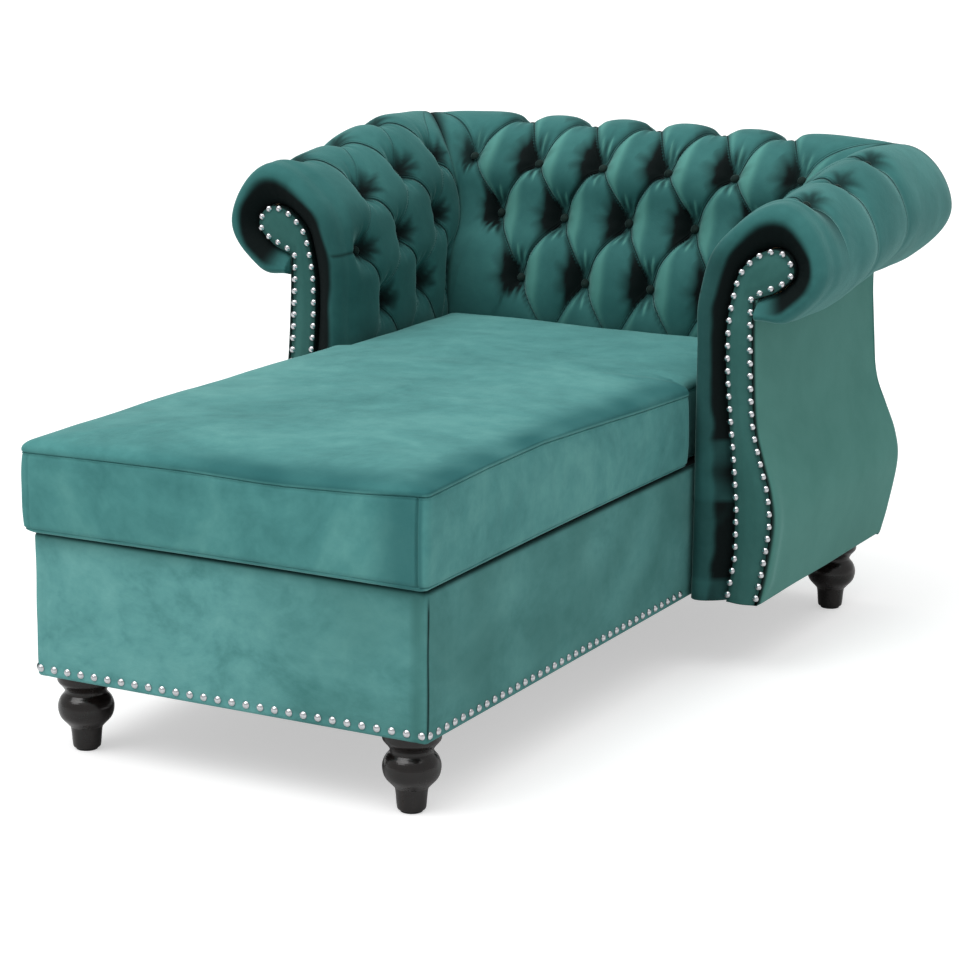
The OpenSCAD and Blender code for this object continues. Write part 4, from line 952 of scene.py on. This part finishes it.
def make_cushion():
    """A boxed cushion with a crown: level loops, swollen a little and drawn in along its seams."""
    pts, outs = cushion_outline()
    mid, long = (cushion_front + cushion_rear) / 2, (cushion_rear - cushion_front) / 2
    lifted = cushion_rise(pts[:, 0], pts[:, 1])
    inset_by, box, top = cushion_levels().T[..., None]
    x = pts[:, 0] * (1 - inset_by / cushion_wide)
    y = mid + (pts[:, 1] - mid) * (1 - inset_by / long)
    over = cushion_box + lifted * (1 - top / cushion_crown) + top
    z = cushion_z + np.where(box < 1, box * (cushion_box + lifted), over)
    swell = hills(x / 150, y / 150, 21) * 2.4 + hills(x / 60, y / 60, 31) * 0.9
    wave = hills(x / 80 + y / 80, z / 45, 41) * 1.5 + hills((x + y) / 24, z / 60, 51) * 0.6
    on_side = np.where((box > 0.04) & (box < 0.96), np.sin(np.pi * np.clip(box, 0, 1)) ** 0.7, 0)
    # the seams open and close a little along their length
    at_seam = ((box > 0.95) & (box < 0.965)) | (np.abs(box - low_seam_share) < 0.004)
    pull = 1.1 * np.clip(hills((x + y) / 30, 0.0, 55) + 0.15, -0.2, 1) * at_seam
    out = wave * on_side + pull
    # the boxing is joined by an upright seam beside each front corner, fainter on the left
    seam_in, raised = 13, 0
    for side, strength in ((-1, 0.4), (1, 1)):
        off = side * x - (cushion_wide - seam_in)
        lips = 0.9 * bell(off - 3.4, 1.9) + 0.6 * bell(off + 3.4, 2.4)
        raised = raised + (lips - 3.2 * bell(off, 1.3)) * strength
    on = (y < cushion_front + 12) & (box > low_seam_share) & (box < high_seam_share)
    loops = np.stack([x + outs[:, 0] * out, y + outs[:, 1] * out - raised * on,
                      z + np.where(box >= 1, swell * smooth(top / 20), 0)], -1)
    shade = np.clip(cushion_shade(x, y, box), 0, 1)
    return grid_object("cushion_velvet", CUSHION, loops, {"shade": shade}, flip=True)


cushion = make_cushion()


# Border of the base

frame_in = half_w - border_t


def border_tones(loops, outs):
    """Painted shade: darker on the sides, at the right of the front and under the cushion, with black lines
    of painted shade at the seams.
    """
    x, y, z = np.moveaxis(loops, -1, 0)
    drop = deck_z - z
    side = smooth(np.abs(outs[:, :1]) * 1.4 - 0.4)
    front = 1 - side
    dark = 0.62 * side + front * 0.5 * smooth((x / half_w + 0.2) / 0.9)
    dark = np.maximum(dark, front * 0.9 * bell(x - half_w + 14, 15))
    dark = np.maximum(dark, front * mix(0.5, 1, smooth(x / half_w)) * bell(drop, 16))
    dark = dark * (1 + 0.5 * hills(x / 90 + y / 90, z / 70, 97))
    # painted shade in the upright seams beside the front corners, and a black line of painted shadow right
    # under the cushion
    seam_angle = 62
    turn = np.degrees(np.arctan2(np.abs(outs[:, 0]), -outs[:, 1]))[:, None]
    line = bell(turn - seam_angle, 11) * smooth(drop / 30) * smooth((base_h - drop) / 20)
    line = np.maximum(line, 0.8 * bell(drop, 3))
    return {"shade": np.clip(dark, 0, 1), "seam": np.clip(line, 0, 1)}


def make_border():
    """The velvet round the base, in upright strips: up its outside and down its inside."""
    front_in = base_front + border_t
    path, outs = joined([
        straight(-half_w, np.linspace(flange_y, front_in, 130, endpoint=False), (-1, 0)),
        quarter_turn(-frame_in, front_in, border_t, 180, 16),
        straight(np.linspace(-frame_in, frame_in, 120)[1:-1], base_front, (0, -1)),
        quarter_turn(frame_in, front_in, border_t, 270, 16),
        straight(half_w, np.linspace(front_in, flange_y, 131)[1:], (1, 0)),
    ])
    x, y = path[:, :1], path[:, 1:]
    edge_round, spacing = 5.2, 4.8
    z = np.concatenate([[0.0, 0.6, 1.6, 3.2, edge_round], np.linspace(8, base_h - 8, 40),
                        base_h - np.array([5, 3, 1.4, 0.4, 0])])
    edge = np.minimum(z, base_h - z)
    depth = edge_round * (1 - arc(np.clip(1 - edge / edge_round, 0, 1)))
    run = np.arange(len(path))[:, None] * spacing
    midway = np.sin(np.pi * np.clip(z / base_h, 0, 1))
    wave = (hills(run / 120, z / 80, 61) * 1.6 + hills(run / 34, z / 90, 71) * 0.5) * midway
    d = depth + 0.9 * bell(z - base_nail_edge, 5) - np.minimum(wave, 1.2) + 0.4
    # an upright seam beside each front corner
    for side in (-1, 1):
        d = d + 2.0 * bell(x - side * (frame_in - 10), 1.8) * (y < base_front + 4) * midway ** 0.2
    outer = np.stack(np.broadcast_arrays(x - outs[:, :1] * d, y - outs[:, 1:] * d, base_bottom + z), -1)
    rear = path - outs * border_t
    inner = [np.column_stack([rear, np.full(len(rear), h)]) for h in (deck_z, base_bottom)]
    loops = np.concatenate([outer, np.stack(inner, 1)], 1)
    return grid_object("base_velvet", BORDER, loops, border_tones(loops, outs))


border = make_border()


# Outer panels

def panel_profile(foot, n=110):
    line = [(foot + s[1] * panel_bulge, mix(base_bottom, panel_top, s[0])) for s in panel_shares]
    return curve(line, np.linspace(0, len(line) - 1, n))


def panel_grid(name, foot, end, start=None):
    """A panel swept along its side, mitred where it meets the next one.

    A side panel is rounded over at its start, against the facing. The rear one is symmetric instead."""
    prof = panel_profile(foot)
    z = prof[:, 1]
    roll, foot_round, seam_line = 4.5, 5, 1.7
    near_front = np.array([0, 0.7, 1.5, 2.5, 3.8, 5.5, 8, 11.5, 16]) / 470
    along = np.concatenate([near_front, np.linspace(0.045, 1, 92)])[:, None]
    stop = end + (prof[:, 0] - foot)
    pos = mix(-stop if start is None else start, stop, along)
    inward = 0.8 * foot_round * (1 - arc(np.clip(1 - (z - base_bottom) / foot_round, 0, 1)))
    line = np.zeros((len(along), 1))
    if start is not None:
        near = np.clip(1 - (pos - start) / roll, 0, 1)
        lift = 3.2 * bell(pos - start - 14, 16) * smooth((z - base_bottom) / 40) * smooth((330 - z) / 120)
        inward = inward + roll * (1 - arc(near)) - lift * (1 - near ** 2)
        # painted shadow: a black line along the start, in the gap against the facing
        line = bell(pos[:, :1] - start, seam_line)
    wave = hills(pos / 150, z / 110, 81.0 + foot * 0.01) * 1.3 * np.sin(np.pi * along) ** 0.5
    skin = prof - left_of(np.gradient(prof, axis=0)) * (0.9 * np.clip(wave, -1, 1) - inward)[..., None]
    rear = prof[::-1] - np.array([panel_t, 0])
    rear = np.broadcast_arrays(rear[:, 0], pos[:, ::-1], rear[:, 1])
    loops = np.concatenate([np.stack([skin[..., 0], pos, skin[..., 1]], -1), np.stack(rear, -1)], 1)
    seam_shade = np.repeat(line, loops.shape[1], axis=1)
    if start is None:
        loops = loops[..., [1, 0, 2]]
    return grid_object(name, PANEL, loops, {"seam": seam_shade}, flip=start is None)


right_panel = panel_grid("right_panel_velvet", arm_out, back_y - 1.5 * fit_gap, arm_y + 2 * fit_gap)
left_panel = mirrored("left_panel_velvet", right_panel)
rear_panel = panel_grid("back_panel_velvet", back_y, arm_out - fit_gap)


# Facings

def even(points, n):
    """The same line in n points at even distances."""
    run = np.concatenate([[0], np.cumsum(np.linalg.norm(np.diff(points, axis=0), axis=1))])
    at = np.linspace(0, run[-1], n)
    return np.column_stack([np.interp(at, run, points[:, 0]), np.interp(at, run, points[:, 1])])


def make_facing():
    """A flat padded panel. Its rungs join the inner edge to the outer one, and close over its round head."""
    under_ring, head_row, rungs = 0.9, 4.42, 280
    foot = curve(FOOT, np.linspace(0, len(FOOT) - 1, 60)) + np.array([under_ring, 0])
    left = np.vstack([foot, ring_edge(np.linspace(0.01, head_row, 200), under_ring)])
    prof = panel_profile(arm_out, 400)
    h = np.linspace(base_bottom, panel_top, 150)
    side = np.column_stack([np.interp(h, prof[:, 1], prof[:, 0]) - panel_t - fit_gap, h])
    right = np.vstack([side, ring_edge(np.linspace(LAST - 0.02, head_row, 120), under_ring)])
    left, right = even(left, rungs), even(right, rungs)
    u = np.concatenate([[0, 0.012, 0.03, 0.06], np.linspace(0.1, 0.9, 17), [0.94, 0.97, 0.988, 1]])
    p = left[:, None, :] + (right - left)[:, None, :] * u[:, None]
    outline = np.vstack([left, right])
    dist = np.array([np.linalg.norm(rung[:, None, :] - outline, axis=2).min(1) for rung in p])
    dist[:, [0, -1]] = 0
    # the velvet is rounded over at the edge, drawn down by the nails and padded inside them
    edge_round, edge_drop, nail_line, nail_dip, padding = 3.0, 3.4, 3.2, 0.8, 3.0
    dip = edge_drop * (1 - arc(np.clip(1 - dist / edge_round, 0, 1))) + nail_dip * bell(dist - nail_line, 3.0)
    uneven = 0.5 * hills(p[..., 0] / 30, p[..., 1] / 40, 91) * (dist > 6)
    y = arm_y + dip - padding * rise(dist, 5, 15) + 0.4 + uneven
    rear = np.full(dist.shape, arm_y + facing_t - fit_gap)
    loops = np.concatenate([np.stack([p[..., 0], y, p[..., 1]], -1),
                            np.stack([p[:, ::-1, 0], rear, p[:, ::-1, 1]], -1)], 1)
    # painted shadow: black along the edge, in the gap beside the panel, and a darker line of painted shade
    # along the nails; the hidden back is black all over
    lines = np.maximum(0.9 * bell(dist, 1.6), 0.4 * bell(dist - 3.5, 3.2))
    seam_shade = np.concatenate([lines, np.ones(dist.shape)], 1)
    return grid_object("right_facing_velvet", FACING, loops, {"seam": seam_shade}, flip=True)


right_facing = make_facing()
left_facing = mirrored("left_facing_velvet", right_facing)


# Where each piece rides and what it stands for

for ob, node, slot in (
    (right_arm, "right_arm_cover", "tufted_velvet"),
    (left_arm, "left_arm_cover", "tufted_velvet"),
    (back, "back_cover", "tufted_velvet"),
    (cushion, "cushion_cover", "cushion_velvet"),
    (border, "base_cover", "base_velvet"),
    (right_panel, "right_outer_panel", "panel_velvet"),
    (left_panel, "left_outer_panel", "panel_velvet"),
    (rear_panel, "back_outer_panel", "panel_velvet"),
    (right_facing, "right_facing", "panel_velvet"),
    (left_facing, "left_facing", "panel_velvet"),
):
    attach(ob, "seat_cushion" if ob == cushion else "couch")
    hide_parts(node)


# Floor, light and camera

scene = bpy.context.scene
floor_reach = 60
floor_mesh = bpy.data.meshes.new("floor")
corners = ((-1, -1), (1, -1), (1, 1), (-1, 1))
floor_mesh.from_pydata([(x * floor_reach, y * floor_reach, 0) for x, y in corners], [], [(0, 1, 2, 3)])
floor = add_object("floor", floor_mesh)
backdrop = bpy.data.materials.new("floor")
tree, out = empty_tree(backdrop, "OutputMaterial")
camera_ray = add(tree, "LightPath").outputs["Is Camera Ray"]
diffuse = add(tree, "BsdfDiffuse", {"Color": (0.7, 0.7, 0.7, 1)}).outputs[0]
glow = add(tree, "Emission", {"Color": WHITE, "Strength": maths(tree, "MULTIPLY", camera_ray, 0.5)})
both = add(tree, "AddShader", {0: diffuse, 1: glow.outputs[0]})
fill(tree, out, {0: both.outputs[0]})
floor_mesh.materials.append(backdrop)

# The camera sees a white world, and the couch is lit by a dimmer one
world = bpy.data.worlds.new("world")
scene.world = world
tree, out = empty_tree(world, "OutputWorld")
camera_ray = add(tree, "LightPath").outputs["Is Camera Ray"]
sky = add(tree, "Background", {"Color": WHITE, "Strength": 0.5}).outputs[0]
seen = add(tree, "Background", {"Color": WHITE, "Strength": 1.0}).outputs[0]
pick = add(tree, "MixShader", {0: camera_ray, 1: sky, 2: seen})
fill(tree, out, {0: pick.outputs[0]})

for name, toward, strength, angle in (("key", (0.35, 0.62, -1), 1.1, 40), ("top", (-0.05, 0.1, -1), 1.2, 70)):
    light = bpy.data.lights.new(name, "SUN")
    light.energy = strength
    light.angle = math.radians(angle)
    ob = add_object(name, light)
    ob.rotation_mode = "QUATERNION"
    ob.rotation_quaternion = Vector(toward).to_track_quat("-Z", "Y")

# The camera as solved from the photograph: angles in radians, place in millimetres
azimuth, elevation, roll = 0.488, 0.2338, 0.0099
camera_place = Vector((1917.1, base_front - 2940.4, 1232.0))
orientation = (Matrix.Rotation(azimuth, 4, "Z") @ Matrix.Rotation(math.pi / 2 - elevation, 4, "X")
               @ Matrix.Rotation(roll, 4, "Z"))
camera_data = bpy.data.cameras.new("camera")
camera_data.sensor_width = 36
camera_data.lens = 110.57
camera_data.clip_start, camera_data.clip_end = 0.1, 100
camera = add_object("camera", camera_data)
camera.matrix_world = Matrix.Translation(camera_place * MM) @ orientation
scene.camera = camera
scene.view_settings.view_transform = "Standard"
